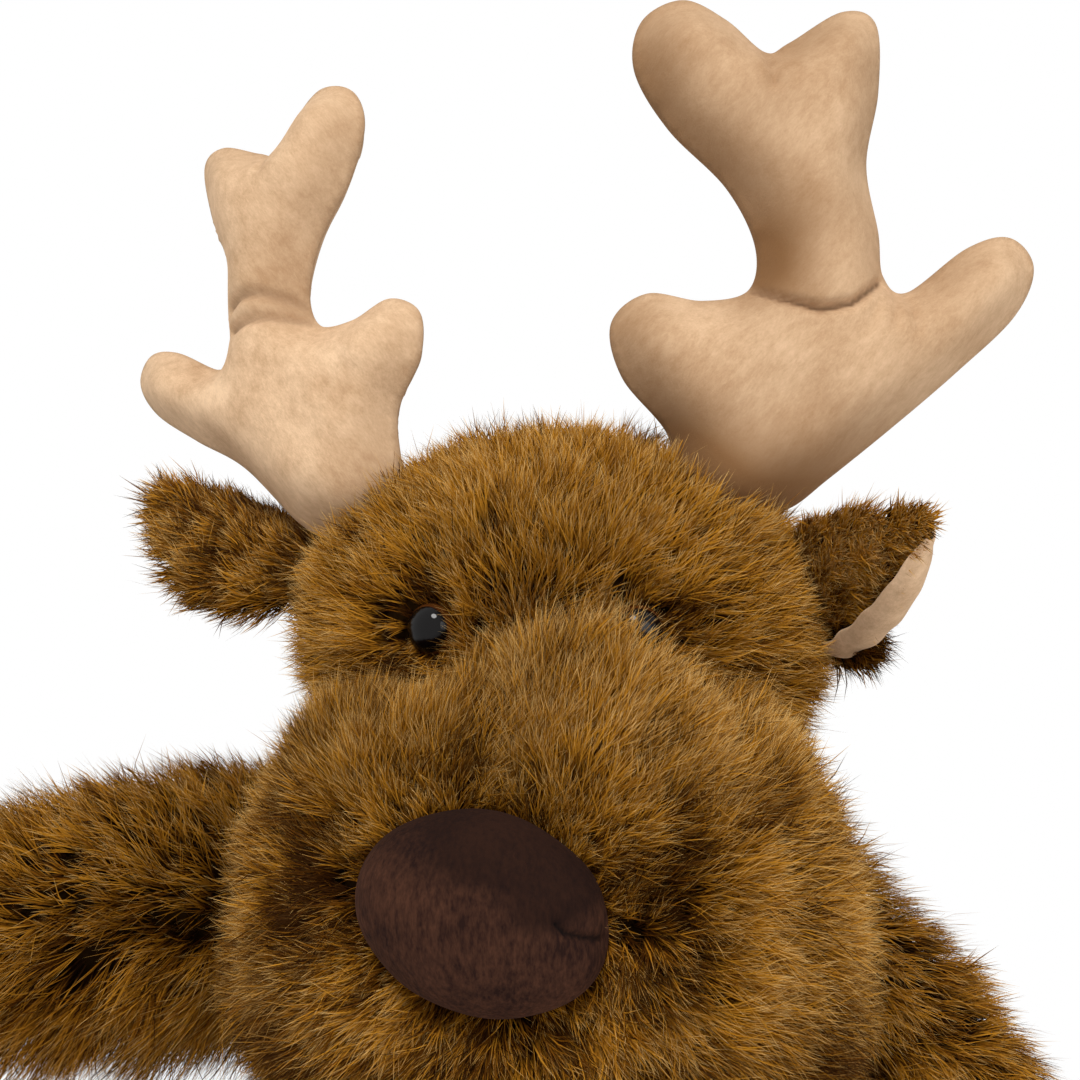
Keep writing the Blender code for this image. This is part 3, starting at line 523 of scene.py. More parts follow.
def finished(mesh: bmesh.types.BMesh, name: str, turn: bool = False) -> bpy.types.Object:
    """Write a bmesh out as a smooth piece, with its faces in an order that no run changes.

    Args:
        mesh: The bmesh, which is freed.
        name: The piece's name.
        turn: Whether its faces still need to be turned outward.

    Returns:
        The piece.
    """
    if turn:
        bmesh.ops.recalc_face_normals(mesh, faces=mesh.faces)
    mesh.verts.index_update()
    faces = []
    for face in mesh.faces:
        corners = [vertex.index for vertex in face.verts]
        first = corners.index(min(corners))
        faces.append(corners[first:] + corners[:first])
    data = bpy.data.meshes.new(name)
    data.from_pydata([tuple(vertex.co) for vertex in mesh.verts], [], sorted(faces))
    mesh.free()
    data.shade_smooth()
    piece = bpy.data.objects.new(name, data)
    bpy.context.scene.collection.objects.link(piece)
    return piece


def wear(piece: bpy.types.Object, material: bpy.types.Material, body: str) -> bpy.types.Object:
    """Dress a piece and fix it to its body.

    Args:
        piece: The piece.
        material: Its material.
        body: The CAD body that it rides on.

    Returns:
        The piece.
    """
    piece.data.materials.append(material)
    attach(piece, body)
    return piece


def smoother(piece: bpy.types.Object, levels: int) -> None:
    """Give a piece a subdivision surface with the same levels in view and in renders."""
    modifier = piece.modifiers.new("smooth", "SUBSURF")
    modifier.levels = levels
    modifier.render_levels = levels


def ring(height: float, reach: float) -> tuple[float, float, float, float, float]:
    """A round ring of a form."""
    return (height, reach, reach, reach, 0.0)


def ball_rings(half_width: float, half_depth: float, half_height: float) -> tuple:
    """Rings of an egg about its own centre.

    Args:
        half_width: Half its width.
        half_depth: Half its depth.
        half_height: Half its height.

    Returns:
        The rings, with its poles.
    """
    rings = []
    for angle in np.linspace(0.0, math.pi, BALL_RINGS):
        reach = math.sin(angle) if 0.0 < angle < math.pi else 0.0
        depth = half_depth * reach
        rings.append((-half_height * math.cos(angle), half_width * reach, depth, depth, 0.0))
    return tuple(rings)


def limb_rings(
    root: float, radius: float, length: float, shares: Sequence[tuple[float, float]], tip: float = 0.0
) -> tuple:
    """Rings of a round limb from its rounded root.

    Args:
        root: The root's radius.
        radius: The limb's radius.
        length: Its length to the seam at its end.
        shares: Places and radii along it, as shares.
        tip: How far a rounded hoof goes past the seam.

    Returns:
        The rings, with its poles.
    """
    turns = [math.radians(degrees) for degrees in ROOT_TURNS]
    rings = [ring(-root * math.cos(angle), root * math.sin(angle)) for angle in turns]
    rings += [ring(length * along, radius * share) for along, share in shares]
    if tip > 0.0:
        end = radius * shares[-1][1]
        rings += [ring(length + tip * along, end * share) for along, share in HOOF_SHARES]
    return (ring(-root, 0.0), *rings, ring(length + tip, 0.0))


def hoof_rings(radius: float, length: float, tip: float) -> tuple:
    """Rings of the velour end of a limb, from its seam.

    Args:
        radius: Its radius at the seam.
        length: Where the seam is along the limb.
        tip: How far it goes past the seam.

    Returns:
        The rings, with its poles.
    """
    tucked = length - HOOF_TUCK
    rings = [ring(tucked, 0.0), ring(tucked, radius * HOOF_TUCK_SHARE), ring(length, radius)]
    rings += [ring(length + tip * along, radius * share) for along, share in HOOF_SHARES]
    return (*rings, ring(length + tip, 0.0))
def aimed(direction: Vector, across: Vector) -> Matrix:
    """Axes with Z along a direction and X as near as can be to another.

    Args:
        direction: Where Z points.
        across: Where X points, nearly.

    Returns:
        The axes as a 3 by 3 matrix.
    """
    length_axis = direction.normalized()
    depth_axis = length_axis.cross(across).normalized()
    width_axis = depth_axis.cross(length_axis).normalized()
    return Matrix((width_axis, depth_axis, length_axis)).transposed()


RING_STEPS = 12
BALL_RINGS = 25
ROOT_TURNS = (25.0, 50.0, 75.0)
HOOF_SHARES = ((0.45, 0.98), (0.75, 0.82), (0.93, 0.50))
HOOF_TUCK = 0.006
HOOF_TUCK_SHARE = 0.90
UPRIGHT = Matrix.Identity(3)
FORWARD = Vector((0.0, -1.0, 0.0))
ARM_SHARES = ((0.12, 0.81), (0.26, 0.93), (0.42, 1.00), (0.62, 1.00), (0.82, 0.93), (1.00, 0.84))
LEG_SHARES = ((0.18, 0.86), (0.38, 0.97), (0.60, 1.00), (0.80, 0.98), (1.00, 0.92))
TAIL_SHARES = ((0.25, 0.84), (0.50, 1.00), (0.75, 0.86), (0.92, 0.52))
TORSO_HEIGHT = 0.300
TORSO_HALF_WIDTH = 0.118
TORSO_HALF_DEPTH = 0.112
TORSO_SETBACK = 0.012
TORSO_LIFT = 0.0005
TORSO_CAP = 0.0006
TORSO_SHARES = (
    (0.00, 0.74, 0.72, 0.0),
    (0.05, 0.91, 0.90, 0.0),
    (0.18, 0.99, 0.99, 0.1),
    (0.34, 1.00, 1.00, 0.3),
    (0.50, 0.97, 0.89, 0.6),
    (0.66, 0.89, 0.73, 1.0),
    (0.82, 0.77, 0.61, 0.8),
    (0.94, 0.65, 0.54, 0.4),
    (1.00, 0.56, 0.50, 0.2),
)
MUZZLE_BASE_HEIGHT = 0.148
MUZZLE_HEIGHT = 0.250
MUZZLE_HALF_WIDTH = 0.139
MUZZLE_FRONT_DEPTH = 0.095
MUZZLE_BACK_DEPTH = 0.065
MUZZLE_CENTRE = Vector((0.0, -0.150, 0.0))
MUZZLE_SHARES = (
    (0.00, 0.00, 0.00, 0.00),
    (0.02, 0.30, 0.24, 0.26),
    (0.07, 0.60, 0.49, 0.54),
    (0.17, 0.84, 0.74, 0.77),
    (0.31, 0.97, 0.92, 0.93),
    (0.465, 1.00, 1.00, 1.00),
    (0.63, 0.965, 1.00, 0.96),
    (0.79, 0.865, 0.89, 0.85),
    (0.91, 0.69, 0.68, 0.66),
    (0.98, 0.38, 0.38, 0.38),
    (1.00, 0.00, 0.00, 0.00),
)
HEAD_HALVES = (0.130, 0.095, 0.096)
HEAD_CENTRE = Vector((0.0, -0.080, 0.407))
NECK_HALVES = (0.050, 0.050, 0.050)
NECK_CENTRE = Vector((0.0, -0.012, 0.300))
NOSE_CENTRE = Vector((-0.007, -0.237, 0.303))
NOSE_ROLL = math.radians(14)
EYE_HALF_SPACING = 0.0475
EYE_FORWARD = -0.160
EYE_HEIGHT = 0.411
WHORLS = (Vector((0.067, -0.233, 0.297)), Vector((-0.080, -0.227, 0.3105)))
BROW = Vector((0.022, -0.168, 0.388))
DIP = Vector((-0.050, -0.172, 0.384))


def torso_form() -> Form:
    """The torso, from the floor to the neck."""
    rings = [ring(0.0, 0.0)]
    for height, width, depth, back in TORSO_SHARES:
        reach = TORSO_HALF_DEPTH * depth
        place = TORSO_HEIGHT * height + TORSO_LIFT
        rings.append((place, TORSO_HALF_WIDTH * width, reach, reach, TORSO_SETBACK * back))
    rings.append(ring(TORSO_HEIGHT + TORSO_CAP, 0.0))
    return Form(tuple(rings), Vector((0.0, 0.0, 0.0)), UPRIGHT)


def muzzle_form() -> Form:
    """The muzzle, from its chin up."""
    rings = []
    for height, width, front, back in MUZZLE_SHARES:
        depths = (MUZZLE_FRONT_DEPTH * front, MUZZLE_BACK_DEPTH * back)
        rings.append((MUZZLE_BASE_HEIGHT + MUZZLE_HEIGHT * height, MUZZLE_HALF_WIDTH * width, *depths, 0.0))
    return Form(tuple(rings), MUZZLE_CENTRE, UPRIGHT)


TORSO = torso_form()
MUZZLE = muzzle_form()
HEAD = Form(ball_rings(*HEAD_HALVES), HEAD_CENTRE, UPRIGHT)
NECK = Form(ball_rings(*NECK_HALVES), NECK_CENTRE, UPRIGHT)


def eye_centre(side: Side) -> Vector:
    """The middle of an eye's rim."""
    return Vector((side.value * EYE_HALF_SPACING, EYE_FORWARD, EYE_HEIGHT))


def share_of(values: Points, start: float, end: float) -> Points:
    """How far values are on the way from a start to an end, from 0 to 1."""
    return np.clip((values - start) / (end - start), 0.0, 1.0)


def bell(values: Points, width: float) -> Points:
    """A mask that is 1 at zero and falls off on both sides within a few widths."""
    return np.exp(-((values / width) ** 2))


def rows_of(items: bpy.types.bpy_prop_collection, name: str, width: int = 3, kind: type = float) -> Points:
    """Read one property of a mesh's items.

    Args:
        items: The mesh's vertices, edges or triangles.
        name: The property.
        width: How many numbers it has.
        kind: What numbers they are.

    Returns:
        A row for each item.
    """
    numbers = np.empty(len(items) * width, kind)
    items.foreach_get(name, numbers)
    return numbers.reshape(-1, width)


def averaged(values: Points, pairs: Points, passes: int, held: int = 0) -> Points:
    """Ease the numbers at a mesh's points toward those beside them.

    Args:
        values: The numbers.
        pairs: The points at the ends of each edge.
        passes: How many times they are eased.
        held: How many of the first points keep theirs.

    Returns:
        The eased numbers.
    """
    values = values.copy()
    pairs = np.vstack([pairs, pairs[:, ::-1]])
    count = np.bincount(pairs[:, 0], minlength=len(values))
    for _ in range(passes):
        total = np.bincount(pairs[:, 0], values[pairs[:, 1]], minlength=len(values))
        values[held:] = (0.5 * values + 0.5 * total / count)[held:]
    return values



def ripple(points: Points, size: float, seed: int) -> Points:
    """Smooth noise from a few waves, from about -1 to 1.

    Args:
        points: The places.
        size: The waves' length in metres.
        seed: Which waves.

    Returns:
        One number for each place.
    """
    draw = np.random.default_rng(seed)
    total = np.zeros(len(points))
    for _ in range(7):
        heading = draw.normal(size=3)
        heading *= math.tau / size * draw.uniform(0.6, 1.6) / np.linalg.norm(heading)
        total += np.sin(points @ heading + draw.uniform(0.0, math.tau))
    return total / 3.2


def drift(points: Points, size: float, seed: int) -> Points:
    """Headings that wander smoothly from place to place."""
    return np.column_stack([ripple(points, size, seed + k) for k in range(3)])


def unit(vectors: Points) -> Points:
    """Each vector at a length of one."""
    return vectors / np.maximum(np.linalg.norm(vectors, axis=1, keepdims=True), 1e-9)


@dataclass
class Lay:
    """How fur lies at each place: its heading, length share, tone, chance and lift."""

    flow: Points
    length: Points
    tone: Points
    chance: Points
    lift: Points

    @classmethod
    def plain(cls, flow: Points, tone: float = 0.55) -> "Lay":
        """Even fur that lies along a flow."""
        one = np.ones(len(flow))
        return cls(flow, one.copy(), one * tone, one.copy(), one.copy())


Combing = Callable[[Points, Points], Lay]


@dataclass(frozen=True)
class Pile:
    """One patch of fur, in tufts. Pairs are how much tufts, and then a tuft's strands, vary."""

    strands: int
    length: float = 0.026
    width: float = 0.00055
    tuft: int = 8
    spread: float = 0.0023
    gather: float = 0.86
    root_lift: float = math.radians(72)
    tip_lift: float = math.radians(34)
    heading: float = 0.17
    swirl: float = 0.42
    yaw: float = 0.22
    bow: float = 0.20
    sink: float = 0.0015
    steps: int = 3
    lengths: tuple[float, float] = (0.13, 0.10)
    lifts: tuple[float, float] = (0.10, 0.08)
    tones: tuple[float, float] = (0.24, 0.20)
    taper: tuple[float, float, float] = (1.0, 0.95, 0.72)
    clump_size: float = 0.022
    swirl_size: float = 0.028
    rise_size: float = 0.016
    tone_size: float = 0.020

    def scatter(
        self, cover: bpy.types.Object, lay: Combing, draw: np.random.Generator
    ) -> tuple[Points, Points, Lay]:
        """Place the tufts on a cover.

        Args:
            cover: The cover that the fur grows on.
            lay: Says how fur lies at given places and normals.
            draw: The random numbers.

        Returns:
            The tufts' places and normals, and how their fur lies.
        """
        data = cover.data
        data.calc_loop_triangles()
        corners = rows_of(data.loop_triangles, "vertices", kind=np.int32)
        areas = rows_of(data.loop_triangles, "area", 1)[:, 0]
        places, normals = rows_of(data.vertices, "co"), rows_of(data.vertices, "normal")
        wanted = self.strands // self.tuft
        middles = places[corners].mean(axis=1)
        leaning = unit(normals[corners].mean(axis=1))
        clumps = (1.0 + 0.5 * ripple(middles, self.clump_size, wanted)).clip(0.3, 2.0)
        weights = areas * lay(middles, leaning).chance * clumps
        picked = draw.choice(len(corners), wanted, p=weights / weights.sum())
        mixes = draw.dirichlet((1.0, 1.0, 1.0), wanted)[:, :, None]
        points = (places[corners[picked]] * mixes).sum(axis=1)
        upward = unit((normals[corners[picked]] * mixes).sum(axis=1))
        return points, upward, lay(points, upward)

    def grow(self, name: str, cover: bpy.types.Object, lay: Combing, seed: int) -> bpy.types.Object:
        """Grow the fur as ribbons that taper to a point.

        Args:
            name: The piece's name.
            cover: The cover that the fur grows on.
            lay: Says how fur lies at given places and normals.
            seed: The seed of its random numbers.

        Returns:
            The fur as one piece.
        """
        draw = np.random.default_rng(seed)
        centres, normal, laid = self.scatter(cover, lay, draw)
        tufts = len(centres)
        flat = unit(laid.flow - (laid.flow * normal).sum(axis=1, keepdims=True) * normal)
        across = np.cross(normal, flat)
        swirl = self.swirl * ripple(centres, self.swirl_size, seed + 200)
        swing = (draw.normal(0.0, self.heading, tufts) + swirl)[:, None]
        along = flat * np.cos(swing) + across * np.sin(swing)
        across = np.cross(normal, along)
        tuft_length = self.length * laid.length * draw.normal(1.0, self.lengths[0], tufts).clip(0.55, 1.35)
        rise = 0.16 * ripple(centres, self.rise_size, seed + 300)
        tuft_lift = laid.lift * (draw.normal(1.0, self.lifts[0], tufts) + rise)
        tuft_tone = laid.tone + draw.normal(0.0, self.tones[0], tufts)
        tuft_tone += 0.20 * ripple(centres, self.tone_size, seed)

        shape = (tufts, self.tuft)
        angle = draw.uniform(0.0, math.tau, shape)
        reach = self.spread * np.sqrt(draw.uniform(0.0, 1.0, shape))
        out = along[:, None] * (reach * np.cos(angle))[..., None]
        out = out + across[:, None] * (reach * np.sin(angle))[..., None]
        yaw = draw.normal(0.0, self.yaw, shape)[..., None]
        heading = along[:, None] * np.cos(yaw) + across[:, None] * np.sin(yaw)
        beside = np.cross(np.broadcast_to(normal[:, None], heading.shape), heading)
        length = tuft_length[:, None] * draw.normal(1.0, self.lengths[1], shape).clip(0.6, 1.4)
        lift = tuft_lift[:, None] * draw.normal(1.0, self.lifts[1], shape)
        tone = (tuft_tone[:, None] + draw.normal(0.0, self.tones[1], shape)).clip(0.02, 0.97)
        tilt = draw.uniform(-1.0, 1.0, shape)[..., None]
        side = beside * np.cos(tilt) + normal[:, None] * np.sin(tilt)
        bend = beside * (draw.normal(0.0, self.bow, shape) * length)[..., None]
        width = self.width / 2.0 * draw.uniform(0.6, 1.4, shape)[..., None]

        steps = self.steps
        spot = centres[:, None] + out - normal[:, None] * self.sink
        rows = []
        for step in range(steps + 1):
            share = step / steps
            drawn = spot - out * (self.gather * share**1.3) + bend * share * share
            if step == steps:
                rows.append(drawn)
            else:
                half = side * width * self.taper[step]
                rows.extend((drawn - half, drawn + half))
            angle = (self.root_lift + (self.tip_lift - self.root_lift) * (share + 0.5 / steps)) * lift
            angle = angle.clip(0.05, 1.55)[..., None]
            stride = (length / steps)[..., None]
            spot = spot + stride * (normal[:, None] * np.sin(angle) + heading * np.cos(angle))
        points = np.stack(rows, axis=2).reshape(-1, 3)
        points[:, 2] = np.maximum(points[:, 2], FLOOR_LIFT)
        return self.ribbons(name, points, tone.reshape(-1))

    def ribbons(self, name: str, points: Points, tone: Points) -> bpy.types.Object:
        """Join the strands' points into one mesh with a map of tone and length.

        Args:
            name: The piece's name.
            points: The points of each strand in turn, in pairs with a single tip.
            tone: Each strand's tone.

        Returns:
            The piece.
        """
        steps, count = self.steps, len(tone)
        held = 2 * steps + 1
        quads = [(2 * k + 1, 2 * k, 2 * k + 2, 2 * k + 3) for k in range(steps - 1)]
        pattern = [corner for quad in quads for corner in quad] + [held - 2, held - 3, held - 1]
        loops = (np.arange(count)[:, None] * held + np.array(pattern)).ravel()
        totals = np.tile([4] * (steps - 1) + [3], count)
        starts = np.concatenate([[0], np.cumsum(totals)[:-1]])
        data = bpy.data.meshes.new(name)
        data.vertices.add(count * held)
        data.vertices.foreach_set("co", points.astype(np.float32).ravel())
        data.loops.add(len(loops))
        data.loops.foreach_set("vertex_index", loops.astype(np.int32))
        data.polygons.add(len(totals))
        data.polygons.foreach_set("loop_start", starts.astype(np.int32))
        edge = np.array([-TONE_EDGE, TONE_EDGE] * steps + [0.0])
        up = np.array([k / steps for k in range(steps) for _ in (0, 1)] + [1.0])
        up = MAP_MARGIN + (1.0 - 2.0 * MAP_MARGIN) * up
        maps = np.stack(np.broadcast_arrays(tone[:, None] + edge[pattern], up[pattern]), axis=2)
        data.uv_layers.new(name=FUR_MAP).uv.foreach_set("vector", maps.astype(np.float32).ravel())
        data.update(calc_edges=True)
        data.validate()
        data.shade_smooth()
        piece = bpy.data.objects.new(name, data)
        bpy.context.scene.collection.objects.link(piece)
        return piece


def sew(
    piece: bpy.types.Object, material: bpy.types.Material, body: str, slot: str, fill: float, *nodes: str
) -> None:
    """Dress a stuffed piece.

    Args:
        piece: The piece.
        material: Its material.
        body: The CAD body that it rides on.
        slot: A material slot's name, which is not used.
        fill: How full it is, which is not used.
        nodes: The CAD nodes that it stands for.
    """
    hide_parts(*nodes)
    wear(piece, material, body)
    LOG.info("%s sewn", piece.name)


@dataclass
class Wardrobe:
    """The materials that the pieces wear."""

    fur: bpy.types.Material
    backing: bpy.types.Material
    tan: bpy.types.Material
    cocoa: bpy.types.Material
    plastic: bpy.types.Material

    @classmethod
    def sewn(cls) -> "Wardrobe":
        """Make every shared material once."""
        tan = VelourFinish(
            name="tan_velour",
            pale=(0.930, 0.655, 0.420),
            deep=(0.610, 0.385, 0.220),
            thread=(0.260, 0.145, 0.075),
            shaded=(0.250, 0.125, 0.050),
        )
        cocoa = VelourFinish(
            name="cocoa_velour",
            pale=(0.074, 0.030, 0.017),
            deep=(0.018, 0.007, 0.005),
            thread=(0.003, 0.002, 0.002),
            shaded=(0.010, 0.004, 0.003),
            fleck=0.50,
            nap=34.0,
            grain=480.0,
            sheen=0.12,
            relief=0.9,
            shine=0.08,
            turn=(0.0, 0.0, 0.0),
        )
        finishes = (FurFinish(), BackingFinish(), tan, cocoa, PlasticFinish())
        return cls(*(finish.make() for finish in finishes))

    def coat(
        self, name: str, pile: Pile, cover: bpy.types.Object, lay: Combing, seed: int, body: str
    ) -> None:
        """Grow a patch of fur on a cover.

        Args:
            name: The fur's name.
            pile: What fur it is.
            cover: The cover that it grows on.
            lay: Says how it lies.
            seed: The seed of its random numbers.
            body: The CAD body that it rides on.
        """
        wear(pile.grow(name, cover, lay, seed), self.fur, body)
        LOG.info("%s grown", name)


def away_from(points: Points, centre: Sequence[float]) -> Points:
    """Headings that lead away from a place."""
    return points - np.array(centre)


def near(points: Points, centre: Sequence[float], start: float, end: float) -> Points:
    """A mask that is 1 within one distance of a place and 0 past another.

    Args:
        points: The places to judge.
        centre: The place.
        start: Where the mask starts to fall.
        end: Where it has fallen to 0.

    Returns:
        One number for each place.
    """
    return 1.0 - share_of(np.linalg.norm(away_from(points, centre), axis=1), start, end)


@dataclass
class Head:
    """The head's fur cover and its fur."""

    inset: float = PILE_INSET
    faces: tuple[int, int] = (72, 48)
    fill: float = 0.85
    crown: Pile = Pile(39000)
    back: Pile = Pile(26000, width=0.0011, steps=2)
    source: tuple[float, float, float] = (0.0, -0.150, 0.392)
    tone: float = 0.70
    eye_ring: tuple[float, float] = (0.013, 0.026)
    eye_hole: float = 0.01085
    face_edge: float = 0.12
    face_foot: float = 0.33
    muzzle_seat: float = 0.016

    def lay(self, points: Points, normals: Points) -> Lay:
        """Fur that fans up and out from between the eyes, short and dark round them."""
        laid = Lay.plain(away_from(points, self.source), self.tone)
        laid.tone += 0.10 * ripple(points, 0.060, 11)
        for side in Side:
            centre = eye_centre(side)
            away = away_from(points, centre)
            ring = near(points, centre, *self.eye_ring)
            laid.flow = unit(laid.flow) + 1.6 * ring[:, None] * unit(away)
            laid.length *= 1.0 - 0.58 * ring
            laid.tone -= 0.40 * ring
            laid.chance *= (np.linalg.norm(away, axis=1) > self.eye_hole) * (1.0 + 0.9 * ring)
        laid.lift = 1.0 + 0.16 * ripple(points, 0.045, 12)
        laid.chance *= ~MUZZLE.holds(points, self.muzzle_seat)
        return laid

    def facing(self, points: Points, normals: Points) -> Points:
        """Which points are on the crown or the face."""
        return (normals[:, 1] < self.face_edge) & (points[:, 2] > self.face_foot)

    def front(self, points: Points, normals: Points) -> Lay:
        """The crown and face."""
        laid = self.lay(points, normals)
        laid.chance *= self.facing(points, normals)
        return laid

    def behind(self, points: Points, normals: Points) -> Lay:
        """The back and underside."""
        laid = self.lay(points, normals)
        laid.chance *= ~self.facing(points, normals)
        return laid

    def build(self, wardrobe: Wardrobe) -> None:
        """Make the cover and grow its fur."""
        cover = HEAD.cover("head_cover", self.inset, self.faces)
        sew(cover, wardrobe.backing, "head", FUR_SLOT, self.fill, "head_skin", "head_stuffing")
        wardrobe.coat("head_fur_crown", self.crown, cover, self.front, 21, "head")
        wardrobe.coat("head_fur_back", self.back, cover, self.behind, 22, "head")


@dataclass
class Muzzle:
    """The muzzle: two full lobes with a parting above the nose."""

    inset: float = PILE_INSET
    faces: tuple[int, int] = (96, 64)
    fill: float = 0.85
    face: Pile = Pile(39000, length=0.027)
    around: Pile = Pile(16000, width=0.0012, steps=2)
    groove: float = 0.008
    groove_width: float = 0.016
    dish: float = 0.005
    dish_halves: tuple[float, float] = (0.052, 0.042)
    swell: float = 0.007
    right_share: float = 0.95
    source: tuple[float, float, float] = (0.0, -0.275, 0.305)
    tone: float = 0.61
    hole: tuple[float, float] = (0.050, 0.040)
    front_edge: float = -0.17
    top_foot: float = 0.335
    head_seat: float = 0.014

    @staticmethod
    def across(points: Points) -> Points:
        """How far points are to the left of the parting, which leans."""
        return points[:, 0] - (0.004 + 0.10 * (points[:, 2] - 0.37))

    def dent(self, points: Points) -> Points:
        """Sink the parting above the nose and a dish under the nose, and swell the brow."""
        x, y, z = points.T
        above, front = share_of(z, 0.318, 0.348), share_of(y, -0.16, -0.21)
        moved = points.copy()
        moved[:, 0] *= np.where(x < 0.0, self.right_share, 1.0)
        moved[:, 2] += self.swell * (near(points, BROW, 0.010, 0.050) - near(points, DIP, 0.010, 0.045))
        moved[:, 1] += self.groove * bell(self.across(points), self.groove_width) * above * front
        reach = np.linalg.norm(away_from(points, NOSE_CENTRE)[:, [0, 2]] / self.dish_halves, axis=1)
        moved[:, 1] += self.dish * np.exp(-((reach / 1.15) ** 4)) * share_of(y, -0.15, -0.20)
        return moved

    def part(self, points: Points) -> Points:
        """Headings that lead away from the nose and the parting, but up to it on the right lobe."""
        across = self.across(points)
        above = share_of(points[:, 2], 0.325, 0.365) * (points[:, 1] < -0.15)
        flow = unit(away_from(points, self.source))
        flow += np.outer(bell(across, 0.030) * above * np.sign(across) * 0.5, (1.0, 0.0, 0.0))
        flow[:, 2] += 0.25 * above
        toward = above * share_of(across, 0.0, -0.012) * share_of(across, -0.100, -0.070)
        return flow + np.outer(toward, (1.10, 0.0, 0.55))

    def lay(self, points: Points, normals: Points) -> Lay:
        """Fur that leads away from the nose, parted above it, with a darker ring of painted shade round it.
        """
        x, y, z = points.T
        laid = Lay.plain(self.part(points), self.tone)
        whorl, squashed = np.zeros(len(points)), np.array((1.0, 1.0, 0.75))
        for centre in WHORLS:
            pull = near(points, centre, 0.0, 0.040)[:, None]
            laid.flow = unit(laid.flow) * (1.0 - 0.6 * pull) + 0.9 * pull * unit(away_from(points, centre))
            whorl = np.maximum(whorl, near(points * squashed, np.array(centre) * squashed, 0.010, 0.034))
        brow, dip = near(points, BROW, 0.010, 0.045), near(points, DIP, 0.012, 0.035)
        laid.flow = unit(laid.flow) + np.outer(brow, (0.0, 0.0, 0.9))

        cos, sin = math.cos(NOSE_ROLL), math.sin(NOSE_ROLL)
        local = away_from(points, NOSE_CENTRE)[:, [0, 2]] @ np.array(((cos, sin), (-sin, cos)))
        reach = np.linalg.norm(local / self.hole, axis=1) + 0.05 * ripple(points, 0.05, 31)
        ahead = y < self.front_edge
        inner = share_of(reach, 1.45, 1.00) * ahead
        parting = self.across(points)
        above = share_of(z, 0.325, 0.365) * (y < -0.15)
        # Painted shade: darker round the nose, in the whorls, on the left lobe and under the chin.
        laid.tone += 0.19 * ripple(points, 0.050, 32) - 0.26 * inner - 0.44 * whorl
        laid.tone -= 0.17 * share_of(x, -0.050, -0.090) * share_of(z, 0.36, 0.32)
        laid.tone -= 0.50 * share_of(z, 0.262, 0.232)
        # Painted light: paler along the parting.
        laid.tone += 0.18 * bell(parting, 0.014) * above
        laid.length *= (1.0 - 0.40 * inner) * (1.0 - 0.25 * whorl) * (1.0 + 0.30 * brow) * (1.0 - 0.30 * dip)
        laid.lift = 1.0 + 0.18 * ripple(points, 0.040, 33) - 0.10 * inner + 0.25 * whorl + 0.20 * brow
        laid.chance *= (reach > 0.90 - 0.10 * (local[:, 1] > 0.0)) | ~ahead
        laid.chance *= 1.0 + 0.5 * bell(parting, 0.008) * above
        laid.chance *= ~HEAD.holds(points, self.head_seat)
        return laid

    def sector(self, side: int) -> Combing:
        """The fur of one sector of the front, or of the rest.

        Args:
            side: 0 for the top, 1 and -1 for the sides, 2 for what faces back.

        Returns:
            How fur lies there.
        """

        def part(points: Points, normals: Points) -> Lay:
            """Keep to the sector."""
            laid = self.lay(points, normals)
            ahead, top = normals[:, 1] < 0.05, points[:, 2] > self.top_foot
            spans = {
                0: ahead & top,
                1: ahead & ~top & (points[:, 0] >= 0.0),
                -1: ahead & ~top & (points[:, 0] < 0.0),
                2: ~ahead,
            }
            laid.chance *= spans[side]
            return laid

        return part

    def build(self, wardrobe: Wardrobe) -> None:
        """Make the cover and grow its fur."""
        cover = MUZZLE.cover("muzzle_cover", self.inset, self.faces, self.dent)
        sew(cover, wardrobe.backing, "head", FUR_SLOT, self.fill, "muzzle_skin", "muzzle_stuffing")
        for name, pile, side, seed in (
            ("muzzle_fur_top", self.face, 0, 41),
            ("muzzle_fur_left", self.face, 1, 42),
            ("muzzle_fur_right", self.face, -1, 43),
            ("muzzle_fur_back", self.around, 2, 44),
        ):
            wardrobe.coat(name, pile, cover, self.sector(side), seed, "head")


def groove(points: Points, start: Sequence[float], end: Sequence[float], width: float) -> Points:
    """How deep in a groove each flat point is, from 0 to 1.

    Args:
        points: Flat places.
        start: One end of the groove.
        end: Its other end.
        width: Its half width.

    Returns:
        One number for each place.
    """
    first, span = np.array(start), np.array(end) - np.array(start)
    share = np.clip(((points - first) @ span) / (span @ span), 0.0, 1.0)
    return bell(np.linalg.norm(points - first - share[:, None] * span, axis=1), width)


def flat_ripple(places: Points, size: float, seed: int) -> Points:
    """Smooth noise over flat places."""
    return ripple(np.column_stack([places, places[:, :1] * 0.0]), size, seed)


def lying_ball(faces: tuple[int, int]) -> bmesh.types.BMesh:
    """A ball of radius one whose poles face front and back."""
    mesh = bmesh.new()
    bmesh.ops.create_uvsphere(mesh, u_segments=faces[0], v_segments=faces[1], radius=1.0)
    bmesh.ops.rotate(mesh, verts=mesh.verts, cent=(0, 0, 0), matrix=Matrix.Rotation(math.radians(90), 3, "X"))
    return mesh


def mark(piece: bpy.types.Object, name: str, amounts: Points) -> None:
    """Write a number at each point of a piece, such as how much of a seam it holds."""
    layer = piece.data.attributes.new(name, "FLOAT", "POINT")
    layer.data.foreach_set("value", np.asarray(amounts, np.float32))


def plain_cloth(piece: bpy.types.Object) -> None:
    """Say that a velour piece has no seam and no shade."""
    for name in (SEAM_AND_CREASE_SHADE, SHADE):
        mark(piece, name, np.zeros(len(piece.data.vertices)))


